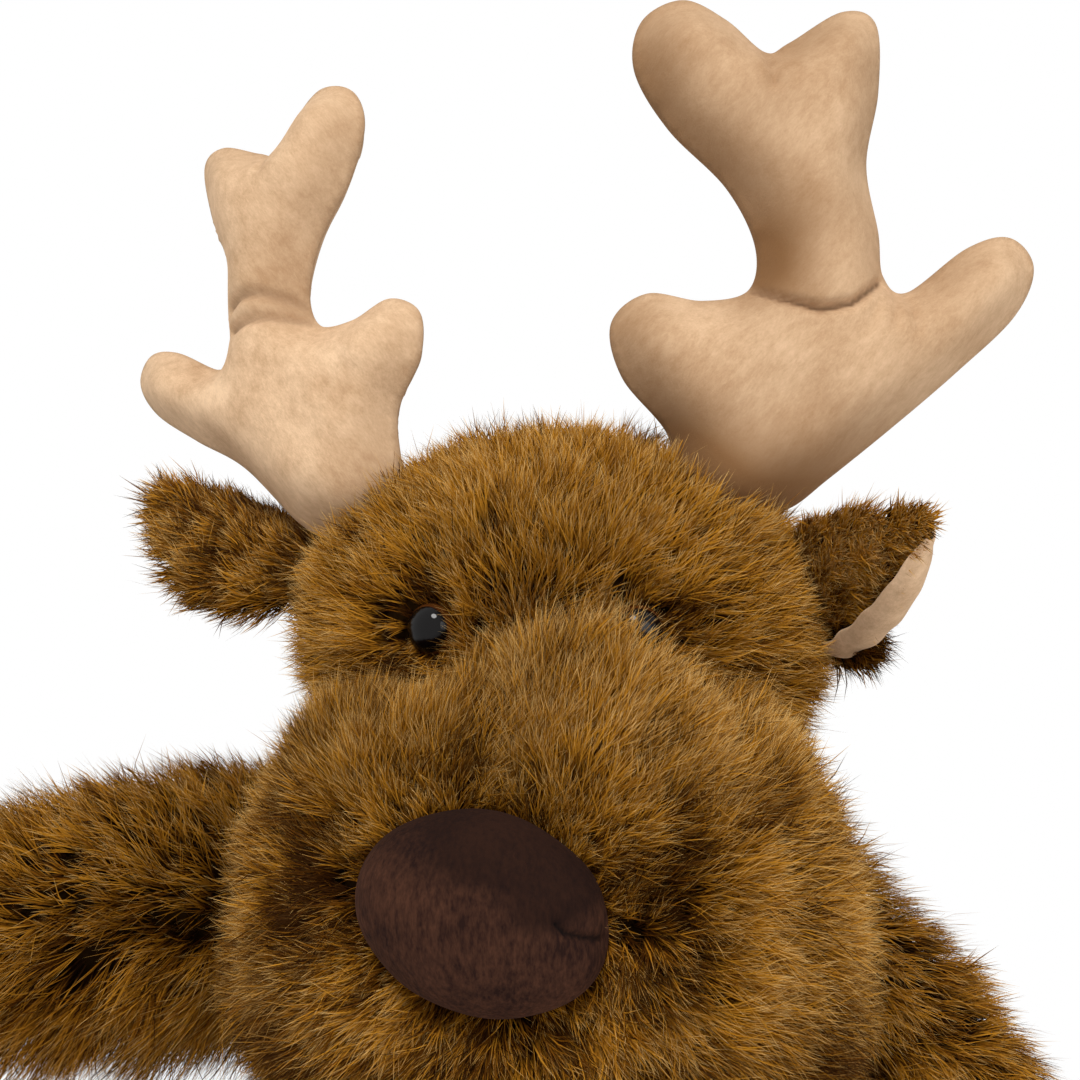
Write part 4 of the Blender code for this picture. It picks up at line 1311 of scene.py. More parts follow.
@dataclass
class Nose:
    """The oval velour nose with the short closing seam at its lower right."""

    halves: tuple[float, float, float] = (0.0520, 0.0310, 0.0400)
    faces: tuple[int, int] = (160, 110)
    fill: float = 0.9
    seam: tuple[tuple[float, float], ...] = ((0.0329, 0.0115), (0.0370, 0.0085), (0.0500, 0.0063))
    seam_width: float = 0.0011
    pull_width: float = 0.0060
    seam_depth: float = 0.0016
    lump_depth: float = 0.0006
    lump_size: float = 0.050

    def build(self, wardrobe: Wardrobe) -> None:
        """Shape the nose and sink its seam."""
        mesh = lying_ball(self.faces)
        bmesh.ops.scale(mesh, verts=mesh.verts, vec=self.halves)
        flat = np.array([(vertex.co.x, vertex.co.z) for vertex in mesh.verts])
        ahead = np.array([vertex.co.y < 0.0 for vertex in mesh.verts])
        start, middle, end = self.seam
        seam = groove(flat, start, middle, self.seam_width)
        seam = np.maximum(seam, groove(flat, middle, end, self.seam_width)) * ahead
        pull = groove(flat, start, end, self.pull_width) * ahead
        lump = flat_ripple(flat, self.lump_size, 51)
        for vertex, depth in zip(mesh.verts, self.seam_depth * (seam + pull) - self.lump_depth * lump):
            vertex.co -= vertex.co.normalized() * depth
        turn = Matrix.Translation(NOSE_CENTRE) @ Matrix.Rotation(NOSE_ROLL, 4, "Y")
        bmesh.ops.transform(mesh, matrix=turn, verts=mesh.verts)
        piece = finished(mesh, "nose_pad")
        mark(piece, SEAM_AND_CREASE_SHADE, 0.85 * seam)
        # Painted shade: the upper part of the nose is darker.
        mark(piece, SHADE, 0.75 * share_of(flat[:, 1] / self.halves[2] + 0.25 * lump, 0.25, 0.60))
        sew(piece, wardrobe.cocoa, "head", "cocoa_velour", self.fill, "nose_cover", "nose_stuffing")


@dataclass
class Eye:
    """A glossy safety eye set in the fur."""

    side: Side
    radius: float = 0.0120
    dome: float = 0.0090
    edge: float = 0.0006
    shank_radius: float = 0.0025
    shank_top: float = 0.0010
    shank_length: float = 0.0160
    turn: float = math.radians(16)
    faces: int = 48

    def profile(self) -> list[tuple[float, float]]:
        """Half a section of the dome and its shank, from the top down."""
        angles = [math.radians(degrees) for degrees in range(8, 91, 6)]
        dome = [(self.radius * math.sin(angle), self.dome * math.cos(angle)) for angle in angles]
        shank = [(self.shank_radius, -self.shank_top), (self.shank_radius, -self.shank_length)]
        return [(0.0, self.dome), *dome, (self.radius, -self.edge), *shank, (0.0, -self.shank_length)]

    def build(self) -> None:
        """Turn the dome and its shank."""
        sign, name = self.side.value, f"eye_dome_{self.side.word}"
        facing = Vector((sign * math.sin(self.turn), -math.cos(self.turn), 0.0))
        place = eye_centre(self.side)
        mesh = bmesh.new()
        points = [mesh.verts.new((radius, 0.0, height)) for radius, height in self.profile()]
        edges = [mesh.edges.new(pair) for pair in zip(points, points[1:])]
        around = {"cent": (0, 0, 0), "axis": (0, 0, 1), "angle": math.tau, "steps": self.faces}
        bmesh.ops.spin(mesh, geom=points + edges, use_merge=True, **around)
        bmesh.ops.remove_doubles(mesh, verts=mesh.verts, dist=1e-6)
        matrix = Matrix.Translation(place) @ aimed(facing, Vector((0.0, 0.0, 1.0))).to_4x4()
        bmesh.ops.transform(mesh, matrix=matrix, verts=mesh.verts)
        piece = finished(mesh, name, True)
        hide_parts(f"eye_{self.side.word}")
        finish = EyeFinish(f"eye_gloss_{self.side.word}", place + facing * self.dome, self.radius)
        wear(piece, finish.make(), "head")
        LOG.info("%s set", name)


ANTLER_FOOT = 0.05
ANTLER_OUTLINE = (
    *((0.130, -0.060), (0.210, 0.000), (0.345, 0.100), (0.480, 0.215), (0.600, 0.330), (0.640, 0.430)),
    *((0.590, 0.492), (0.500, 0.470), (0.375, 0.378), (0.325, 0.410), (0.315, 0.500), (0.290, 0.640)),
    *((0.315, 0.790), (0.310, 0.930), (0.240, 0.955), (0.130, 0.890), (0.080, 0.870), (0.000, 0.935)),
    *((-0.090, 0.975), (-0.175, 0.930), (-0.190, 0.830), (-0.120, 0.710), (0.000, 0.590), (0.060, 0.470)),
    *((0.045, 0.380), (-0.050, 0.358), (-0.165, 0.372), (-0.238, 0.310), (-0.215, 0.200), (-0.125, 0.090)),
    *((-0.105, 0.010), (-0.075, -0.066), (0.030, -0.088)),
)


@dataclass(frozen=True)
class Crease:
    """A crease in an antler's panels: its path, in shares of the height, and its width and depth."""

    path: tuple[tuple[float, float], ...]
    width: float
    depth: float


@dataclass
class Antler:
    """A padded antler of two velour panels, creased where it bends. Its main crease is the first."""

    side: Side
    place: Vector
    turns: tuple[float, float, float]
    height: float
    stalk: float
    creases: tuple[Crease, ...]
    # upper, root_end, edge and base are amounts of painted shade: above the main crease, at the root, on
    # inner edges and all over.
    upper: float
    root_end: float
    edge: float
    base: float = 0.0
    fill: float = 0.8
    puff: float = 0.0240
    puff_width: float = 0.0300
    spacing: float = 0.0023
    outline_steps: int = 14
    half_seam: float = 0.0007
    wave: float = 0.0007
    crease_reach: float = 0.006
    # The first is painted shade in the creases; the second is the rim seam's thread.
    seam_tone: float = 0.80
    rim_tone: float = 0.20
    # These two shape the painted shade.
    root_fade: float = 0.30
    stem_side: float = 0.37

    def outline(self) -> Points:
        """The panel's outline as a smooth closed curve."""
        points = np.array(ANTLER_OUTLINE)
        points = points * self.height + np.outer(points[:, 1] > ANTLER_FOOT, (0.0, self.stalk))
        return curve(np.vstack([points[-1:], points, points[:2]]), self.outline_steps)

    @staticmethod
    def reach(points: Points, outline: Points) -> tuple[Points, Points]:
        """How far points are from an outline, and whether they are inside it.

        Args:
            points: Flat places.
            outline: The closed outline.

        Returns:
            The distances, and True for each point inside.
        """
        following = np.roll(outline, -1, axis=0)
        nearest = np.full(len(points), np.inf)
        inside = np.zeros(len(points), bool)
        for start, end, run in zip(outline, following, following - outline):
            share = np.clip(((points - start) @ run) / (run @ run), 0.0, 1.0)
            nearest = np.minimum(nearest, np.linalg.norm(points - start - share[:, None] * run, axis=1))
            if start[1] != end[1]:
                between = (start[1] > points[:, 1]) != (end[1] > points[:, 1])
                crossing = start[0] + (points[:, 1] - start[1]) * run[0] / run[1]
                inside ^= between & (points[:, 0] < crossing)
        return nearest, inside

    def sheet(self) -> tuple[Points, list, int]:
        """The panel's points and triangles, laid flat.

        Returns:
            The points, the triangles and how many points the rim has.
        """
        outline = self.outline()
        low, high = outline.min(axis=0), outline.max(axis=0)
        rows = np.arange(low[1] + self.spacing / 2.0, high[1], self.spacing * math.sin(math.radians(60)))
        grid = []
        for row, height in enumerate(rows):
            start = low[0] + self.spacing * (0.25 if row % 2 else 0.75)
            across = np.arange(start, high[0], self.spacing)
            grid.append(np.column_stack([across, np.full(len(across), height)]))
        grid = np.vstack(grid)
        far, inside = self.reach(grid, outline)
        points = np.vstack([outline, grid[inside & (far > self.spacing * 0.5)]])
        edges = [(index, (index + 1) % len(outline)) for index in range(len(outline))]
        flat = [Vector(point) for point in points]
        places, _, faces, _, _, _ = delaunay_2d_cdt(flat, edges, [], 1, self.spacing * 0.001)
        return np.array(places), faces, len(outline)

    def heights(self, places: Points, faces: list, rim: int) -> tuple[Points, Points]:
        """How far each point of a panel stands out.

        Args:
            places: The panel's flat points.
            faces: Its triangles.
            rim: How many points its rim has.

        Returns:
            The heights and how deep in a crease each point is.
        """
        far, _ = self.reach(places, places[:rim])
        share = np.minimum(far / self.puff_width, 1.0)
        tall = self.puff * np.sqrt(share * (2.0 - share))
        pairs = np.array([(face[a], face[b]) for face in faces for a, b in ((0, 1), (1, 2), (2, 0))])
        tall = averaged(tall, pairs, 90, rim)
        depth = np.zeros(len(places))
        for crease in self.creases:
            stops = np.array(crease.path) * self.height + np.array((0.0, self.stalk))
            for start, end in zip(stops, stops[1:]):
                depth = np.maximum(depth, crease.depth * groove(places, start, end, crease.width))
        change = self.wave * flat_ripple(places, 0.045, 61) - depth * share_of(far, 0.0, self.crease_reach)
        tall[rim:] += change[rim:]
        return tall, depth

    def build(self, wardrobe: Wardrobe) -> None:
        """Sew the two panels round the filling."""
        places, faces, rim = self.sheet()
        tall, crease = self.heights(places, faces, rim)
        mirror, word = self.side.value, self.side.word
        mesh = bmesh.new()
        rims = []
        for way in (-1.0, 1.0):
            corners = [
                mesh.verts.new((place[0] * mirror, way * (self.half_seam + height), place[1]))
                for place, height in zip(places, tall)
            ]
            for face in faces:
                mesh.faces.new([corners[index] for index in face])
            rims.append(corners[:rim])
        for index in range(rim):
            later = (index + 1) % rim
            mesh.faces.new((rims[0][index], rims[0][later], rims[1][later], rims[1][index]))
        turn, lean, tilt = (math.radians(degrees) for degrees in self.turns)
        axes = Matrix.Rotation(mirror * turn, 4, "Z") @ Matrix.Rotation(-lean, 4, "X")
        axes = axes @ Matrix.Rotation(mirror * tilt, 4, "Y")
        bmesh.ops.transform(mesh, matrix=Matrix.Translation(self.place) @ axes, verts=mesh.verts)
        piece = finished(mesh, f"antler_pad_{word}", True)
        # Painted shade in the creases goes into the seam mark; the rim gets the seam's thread.
        seam = share_of(crease, 0.0, self.crease_reach) ** 2 * self.seam_tone
        seam[:rim] = self.rim_tone
        mark(piece, SEAM_AND_CREASE_SHADE, np.concatenate([seam, seam]))
        mark(piece, SHADE, self.shade(piece, places, np.array(axes.to_3x3())))
        nodes = (f"antler_{word}_front", f"antler_{word}_back", f"antler_{word}_stuffing")
        sew(piece, wardrobe.tan, f"antler_{word}", TAN_SLOT, self.fill, *nodes)

    def shade(self, piece: bpy.types.Object, places: Points, axes: Points) -> Points:
        """Painted shade on the velour: at its root, above its main crease, on its inner edges and, by its
        base amount, all over.

        Args:
            piece: The sewn antler, with its front points first.
            places: The panel's flat points.
            axes: The antler's axes.

        Returns:
            One number for each point of both panels.
        """
        facing = (rows_of(piece.data.vertices, "normal") @ axes)[:, 0] * self.side.value
        share = (places - (0.0, self.stalk)) / self.height
        fold = np.array(sorted(self.creases[0].path))
        above = share[:, 1] - np.interp(share[:, 0], fold[:, 0], fold[:, 1])
        cloud = 1.0 + 0.5 * flat_ripple(places, 0.070, 62)
        # Painted shade toward the root, and over the stem above the main crease.
        rooted = 0.90 * share_of(share[:, 1], self.root_end, self.root_end - self.root_fade) ** 1.5
        stem = share_of(above, 0.0, 0.015) * share_of(share[:, 0], self.stem_side, self.stem_side - 0.03)
        rooted += self.upper * cloud * stem * (1.0 - 0.5 * share_of(above, 0.0, 0.5))
        pairs = rows_of(piece.data.edges, "vertices", 2, np.int32)
        # Painted shade on the edges that face inward.
        inner = averaged(np.clip(-facing, 0.0, 1.0), pairs, 40)
        return np.clip(self.base + np.concatenate([rooted, rooted]) + self.edge * inner, 0.0, 1.0)


EAR_SHARES = np.array(
    (
        *((0.00, 0.38), (0.12, 0.50), (0.28, 0.82), (0.45, 1.00)),
        *((0.62, 0.96), (0.80, 0.70), (0.93, 0.38), (1.00, 0.16)),
    )
)
EAR_EDGES = np.array(
    (
        (0.00, 1.30, 1.90),
        (0.12, 1.15, 1.75),
        (0.35, 0.74, 1.12),
        (0.55, 0.56, 0.93),
        (0.75, 0.46, 0.92),
        (1.00, 0.50, 1.00),
    )
)


@dataclass
class Ear:
    """An ear, furred behind and lined with velour. Its lower edge may be rolled over."""

    side: Side
    place: Vector
    axes: tuple[Vector, Vector, Vector]
    length: float = 0.100
    half_width: float = 0.033
    cup: float = 0.017
    tuck: float = 0.010
    tone: float = 0.42
    fill: float = 0.3
    roll: float = 0.0
    hem: float = 0.0
    bend: float = 0.0
    back_lift: float = 0.0025
    back_wall: float = 0.004
    lining_lift: float = -0.0022
    lining_wall: float = 0.0020
    lining_start: float = 0.02
    lining_end: float = 0.97
    lining_width: float = 0.93
    pile: Pile = Pile(
        17000, length=0.021, width=0.0008, root_lift=math.radians(60), tip_lift=math.radians(18)
    )

    def rolled(self, along: float, across: float, lift: float) -> tuple[float, float]:
        """Where a point is on the ear's cross-section, whose lower edge may roll over.

        Args:
            along: How far along the ear, as a share.
            across: From -1 at the lower edge to 1 at the upper one.
            lift: How far from the middle surface, to the furred side.

        Returns:
            Its places across the ear and out from it.
        """
        span = float(np.interp(along, *EAR_SHARES.T))
        half = self.half_width * span
        if self.roll == 0.0:
            return half * across, -self.cup * span * across * across + lift
        amount = float(self.fold(along))
        radius, hem = self.roll * amount + 0.0004, self.hem * amount
        above, below = self.edges(along)
        upper, half = above * half, below * half
        flat = upper + half - radius
        turn = math.pi * radius
        place = (1.0 - across) / 2.0 * (flat + turn + hem)
        if place < flat:
            width, depth, angle = upper - place, 0.0, 0.0
        elif place < flat + turn:
            angle = (place - flat) / radius
            width = -half + radius - radius * math.sin(angle)
            depth = radius - radius * math.cos(angle)
        else:
            angle = math.pi
            width, depth = -half + radius + (place - flat - turn), 2.0 * radius
        sag = 0.8 * max(width / half, 0.0) ** 2 + 0.15 * min(width / half, 0.0) ** 2
        depth += lift * math.cos(angle) - self.cup * span * sag
        return width + self.bend * along * along + lift * math.sin(angle), depth

    @staticmethod
    def fold(along: Points) -> Points:
        """How much of its roll and hem an ear has at a share of its length."""
        return np.sqrt(np.maximum(np.sin(math.pi * share_of(along, 0.06, 0.96)), 0.0))

    @staticmethod
    def edges(along: Points) -> Points:
        """How much of its half width a rolled ear has above and below its middle."""
        return np.array([np.interp(along, EAR_EDGES[:, 0], EAR_EDGES[:, column]) for column in (1, 2)])

    def leaf(
        self, name: str, low: float, high: float, edge: float, lift: float, wall: float
    ) -> bpy.types.Object:
        """A cupped leaf of the ear's shape.

        Args:
            name: The piece's name.
            low: Where it starts along the ear, as a share.
            high: Where it ends.
            edge: How much of the ear's width it takes.
            lift: How far it is from the ear's middle surface.
            wall: Its thickness.

        Returns:
            The piece.
        """
        mesh = bmesh.new()
        for level in (lift, lift - wall):
            sheet = bmesh.ops.create_grid(mesh, x_segments=40, y_segments=30, size=1.0)["verts"]
            for vertex in sheet:
                along = low + (high - low) * (vertex.co.y + 1.0) / 2.0
                width, depth = self.rolled(along, vertex.co.x * edge, level)
                vertex.co = (width, depth, (self.length + self.tuck) * along - self.tuck)
        rims = [side for side in mesh.edges if side.is_boundary]
        bmesh.ops.bridge_loops(mesh, edges=rims)
        axes = Matrix(self.axes).transposed().to_4x4()
        bmesh.ops.transform(mesh, matrix=Matrix.Translation(self.place) @ axes, verts=mesh.verts)
        piece = finished(mesh, name, True)
        smoother(piece, 1)
        return piece

    def lay(self, points: Points, normals: Points) -> Lay:
        """Fur that leads to the tip, on the back and over the edges."""
        axes = np.array([tuple(axis) for axis in self.axes])
        local = away_from(points, self.place) @ axes.T
        share = share_of(local[:, 2], -self.tuck, self.length)
        across = local[:, 0] - self.bend * share * share
        span = self.half_width * np.interp(share, *EAR_SHARES.T)
        spread = 0.55 * across / self.half_width
        if self.roll > 0.0:
            spread = np.maximum(spread, 0.0) * (1.0 - share) + 0.20 - 0.15 * share
        laid = Lay.plain(axes[2] + np.outer(spread, axes[0]) + 0.15 * axes[1], self.tone)
        laid.tone += 0.14 * ripple(points, 0.040, 71)
        facing = normals @ axes[1]
        rim = np.abs(across) > span * 0.86
        if self.roll > 0.0:
            gap = across - (self.hem + self.roll) * self.fold(share) - 0.003 + self.edges(share)[1] * span
            tuft = (facing < 0.2) & (share < 0.30) & (across < 0.0)
            laid.flow[tuft] = 0.6 * axes[2] - axes[0]
            laid.length *= np.where(tuft, 1.2, 1.0)
            laid.length *= 1.0 - 0.30 * share_of(across / span, 0.0, 1.0)
            laid.length *= 1.0 - 0.35 * share_of(share, 0.60, 0.80)
            laid.length *= 1.0 - 0.35 * share_of(gap, 0.008, 0.0) * ~tuft
            laid.tone -= 0.35 * tuft
            laid.chance *= ((gap >= 0.0) & ((facing > -0.2) | (rim & (across > 0.0)))) | tuft
        else:
            laid.chance *= (facing > -0.2) | rim | (share > 0.93)
        laid.length *= 0.85 + 0.30 * share
        return laid

    def lining_shade(self, lining: bpy.types.Object) -> Points:
        """Painted shade on the lining, darker halfway along the ear, in soft clouds."""
        points = rows_of(lining.data.vertices, "co")
        share = away_from(points, self.place) @ np.array(self.axes[2]) / self.length
        cloud = 1.0 + 0.5 * ripple(points, 0.020, 74)
        return np.clip(0.30 * cloud * bell(share - 0.50, 0.20), 0.0, 1.0)

    def build(self, wardrobe: Wardrobe) -> None:
        """Make the back, its fur and the lining."""
        word = self.side.word
        body = f"ear_{word}"
        back = self.leaf(f"ear_back_{word}", 0.0, 1.0, 1.0, self.back_lift, self.back_wall)
        sew(back, wardrobe.backing, body, FUR_SLOT, self.fill, f"ear_{word}_back")
        wardrobe.coat(f"ear_fur_{word}", self.pile, back, self.lay, 72 + int(self.side.value), body)
        shares = (self.lining_start, self.lining_end, self.lining_width)
        lining = self.leaf(f"ear_velvet_{word}", *shares, self.lining_lift, self.lining_wall)
        mark(lining, SEAM_AND_CREASE_SHADE, np.zeros(len(lining.data.vertices)))
        mark(lining, SHADE, self.lining_shade(lining))
        sew(lining, wardrobe.tan, body, TAN_SLOT, self.fill, f"ear_{word}_lining")


@dataclass
class Limb:
    """A stuffed arm or leg with a velour hoof. Fur hangs under one held out, and lies close above."""

    kind: str
    side: Side
    place: Vector
    heading: Vector
    root: float
    radius: float
    length: float
    tip: float
    shares: tuple[tuple[float, float], ...]
    pile: Pile
    seed: int
    inset: float = PILE_INSET
    hoof_inset: float = 0.0005
    faces: tuple[int, int] = (56, 48)
    hoof_faces: tuple[int, int] = (64, 40)
    fill: float = 0.8
    hoof_fill: float = 0.85
    hang: float = 0.0
    close: float = 0.0
    tone: float = 0.50
    seam_gap: float = 0.004
    seam_fade: float = 0.02
    torso_seat: float = 0.014

    def lay(self, points: Points, normals: Points) -> Lay:
        """Fur that leads down the limb to its seam."""
        heading, rise = np.array(self.heading.normalized()), normals[:, 2]
        flow = np.broadcast_to(heading, points.shape) + 0.22 * normals
        flow = flow + np.outer(rise, (0.0, 0.0, 2.4 * self.hang))
        flow = flow + 0.30 * drift(points, 0.07, self.seed)
        laid = Lay.plain(flow, self.tone)
        along = away_from(points, self.place) @ heading
        # Painted shade: darker underneath, and for a held-out limb a painted shadow near its root at the
        # sides.
        laid.tone += 0.14 * ripple(points, 0.060, self.seed) - 0.20 * np.clip(-rise, 0.0, 1.0)
        laid.tone -= self.hang * 0.55 * bell(rise, 0.30) * share_of(along, 0.20, 0.12)
        laid.chance *= (along < self.length - self.seam_gap) & (points[:, 2] > FUR_FOOT)
        laid.chance *= ~TORSO.holds(points, self.torso_seat)
        laid.length *= 1.0 - 0.35 * share_of(along, self.length - self.seam_fade, self.length)
        laid.length *= 1.0 + 1.8 * self.close * np.clip(-1.6 * rise, 0.0, 1.0)
        laid.length *= 1.0 - self.close * share_of(along, 0.10, 0.02) * np.clip(2.0 * rise, 0.0, 1.0)
        laid.lift = 1.0 + 0.20 * ripple(points, 0.045, self.seed + 5)
        return laid

    def build(self, wardrobe: Wardrobe) -> None:
        """Make the cover, its fur and the hoof."""
        kind, word = self.kind, self.side.word
        body, axes = f"{kind}_{word}", aimed(self.heading, FORWARD)
        whole = Form(limb_rings(self.root, self.radius, self.length, self.shares, self.tip), self.place, axes)
        cover = whole.cover(f"{kind}_cover_{word}", self.inset, self.faces)
        sew(cover, wardrobe.backing, body, FUR_SLOT, self.fill, f"{body}_skin", f"{body}_stuffing")
        wardrobe.coat(f"{kind}_fur_{word}", self.pile, cover, self.lay, self.seed, body)
        end = self.radius * self.shares[-1][1]
        hoof = Form(hoof_rings(end, self.length, self.tip), self.place, axes)
        pad = hoof.cover(f"{kind}_hoof_pad_{word}", self.hoof_inset, self.hoof_faces)
        plain_cloth(pad)
        sew(pad, wardrobe.tan, body, TAN_SLOT, self.hoof_fill, f"{body}_hoof")


@dataclass
class Torso:
    """The torso with its velour tummy."""

    inset: float = PILE_INSET
    faces: tuple[int, int] = (72, 56)
    fill: float = 0.8
    front: Pile = Pile(31000, width=0.0012, steps=2)
    back: Pile = Pile(28000, width=0.0013, steps=2)
    tone: float = 0.42
    tummy: tuple[float, float, float] = (0.062, 0.072, 0.152)
    tummy_faces: tuple[int, int] = (64, 40)
    tummy_fill: float = 0.6
    tummy_half_depth: float = 0.0055
    tummy_hole_share: float = 0.96

    def in_tummy(self, points: Points) -> Points:
        """Which points are in front of the velour panel."""
        half_width, half_height, height = self.tummy
        across = points[:, 0] / (half_width * self.tummy_hole_share)
        up = (points[:, 2] - height) / (half_height * self.tummy_hole_share)
        return (across**2 + up**2 < 1.0) & (points[:, 1] < 0.0)

    def lay(self, points: Points, normals: Points) -> Lay:
        """Fur that leads down and out."""
        flow = np.column_stack([0.5 * normals[:, 0], 0.3 * normals[:, 1], -np.ones(len(points))])
        laid = Lay.plain(flow + 0.25 * drift(points, 0.08, 81), self.tone)
        laid.tone += 0.12 * ripple(points, 0.070, 84)
        laid.chance *= ~self.in_tummy(points) & (points[:, 2] > FUR_FOOT)
        laid.lift = 1.0 + 0.2 * ripple(points, 0.045, 85)
        return laid

    def ahead(self, points: Points, normals: Points) -> Lay:
        """The front half."""
        laid = self.lay(points, normals)
        laid.chance *= normals[:, 1] < 0.0
        return laid

    def behind(self, points: Points, normals: Points) -> Lay:
        """The back half."""
        laid = self.lay(points, normals)
        laid.chance *= normals[:, 1] >= 0.0
        return laid

    def build(self, wardrobe: Wardrobe) -> None:
        """Make the cover, its fur and the tummy."""
        cover = TORSO.cover("torso_cover", self.inset, self.faces)
        nodes = ("torso_skin", "torso_stuffing", "pellet_bag")
        sew(cover, wardrobe.backing, "torso", FUR_SLOT, self.fill, *nodes)
        wardrobe.coat("torso_fur_front", self.front, cover, self.ahead, 91, "torso")
        wardrobe.coat("torso_fur_back", self.back, cover, self.behind, 92, "torso")
        self.build_tummy(wardrobe)

    def build_tummy(self, wardrobe: Wardrobe) -> None:
        """A crowned oval of velour let into the front."""
        half_width, half_height, height = self.tummy
        mesh = lying_ball(self.tummy_faces)
        table = TORSO.table(0.0)
        for vertex in mesh.verts:
            x, y, z = vertex.co
            place, across = height + half_height * z, half_width * x
            width, depth, centre = (float(np.interp(place, table[:, 1], table[:, k])) for k in (2, 3, 5))
            face = centre - depth * math.sqrt(max(1.0 - (across / width) ** 2, 0.0))
            vertex.co = (across, face + self.tummy_half_depth * (1.0 + y), place)
        pad = finished(mesh, "tummy_pad")
        plain_cloth(pad)
        sew(pad, wardrobe.tan, "torso", TAN_SLOT, self.tummy_fill, "tummy_panel")


@dataclass
class Neck:
    """The neck, under a ruff of fur."""

    inset: float = 0.002
    faces: tuple[int, int] = (40, 28)
    fill: float = 0.9
    pile: Pile = Pile(8000, width=0.0012, length=0.030, steps=2)
    tone: float = 0.45

    def lay(self, points: Points, normals: Points) -> Lay:
        """Fur that leads out and down between head and torso."""
        laid = Lay.plain(normals * np.array((1.0, 1.0, 0.0)) + np.array((0.0, 0.0, -0.6)), self.tone)
        laid.chance *= normals[:, 2] > -0.50
        return laid

    def build(self, wardrobe: Wardrobe) -> None:
        """Make the cover and grow its fur."""
        cover = NECK.cover("neck_cover", self.inset, self.faces)
        sew(cover, wardrobe.backing, "neck", FUR_SLOT, self.fill, "neck_plug")
        wardrobe.coat("neck_fur", self.pile, cover, self.lay, 93, "neck")


@dataclass
class Tail:
    """The short bob of the tail."""

    place: Vector = Vector((0.0, 0.118, 0.062))
    rise: float = math.radians(38)
    root: float = 0.020
    radius: float = 0.029
    length: float = 0.070
    inset: float = 0.008
    faces: tuple[int, int] = (40, 32)
    fill: float = 0.8
    pile: Pile = Pile(7000, width=0.0010, length=0.024, steps=2)
    tone: float = 0.45

    @property
    def heading(self) -> Vector:
        """The way that it points."""
        return Vector((0.0, math.cos(self.rise), math.sin(self.rise)))

    def lay(self, points: Points, normals: Points) -> Lay:
        """Fur that leads to the tail's tip."""
        return Lay.plain(np.broadcast_to(np.array(self.heading), points.shape) + 0.3 * normals, self.tone)

    def build(self, wardrobe: Wardrobe) -> None:
        """Make the cover and grow its fur."""
        rings = limb_rings(self.root, self.radius, self.length, TAIL_SHARES)
        form = Form(rings, self.place, aimed(self.heading, FORWARD))
        cover = form.cover("tail_cover", self.inset, self.faces)
        sew(cover, wardrobe.backing, "tail", FUR_SLOT, self.fill, "tail_skin", "tail_stuffing")
        wardrobe.coat("tail_fur", self.pile, cover, self.lay, 94, "tail")


@dataclass(frozen=True)
class Lamp:
    """A round soft lamp that is aimed at the deer."""

    name: str
    place: tuple[float, float, float]
    target: tuple[float, float, float]
    size: float
    power: float
    tint: Colour

    def build(self) -> None:
        """Hang and aim it."""
        light = bpy.data.lights.new(self.name, "AREA")
        light.shape = "DISK"
        light.size = self.size
        light.energy = self.power
        light.color = self.tint
        lamp = bpy.data.objects.new(self.name, light)
        lamp.location = self.place
        lamp.rotation_euler = (Vector(self.target) - Vector(self.place)).to_track_quat("-Z", "Y").to_euler()
        bpy.context.scene.collection.objects.link(lamp)


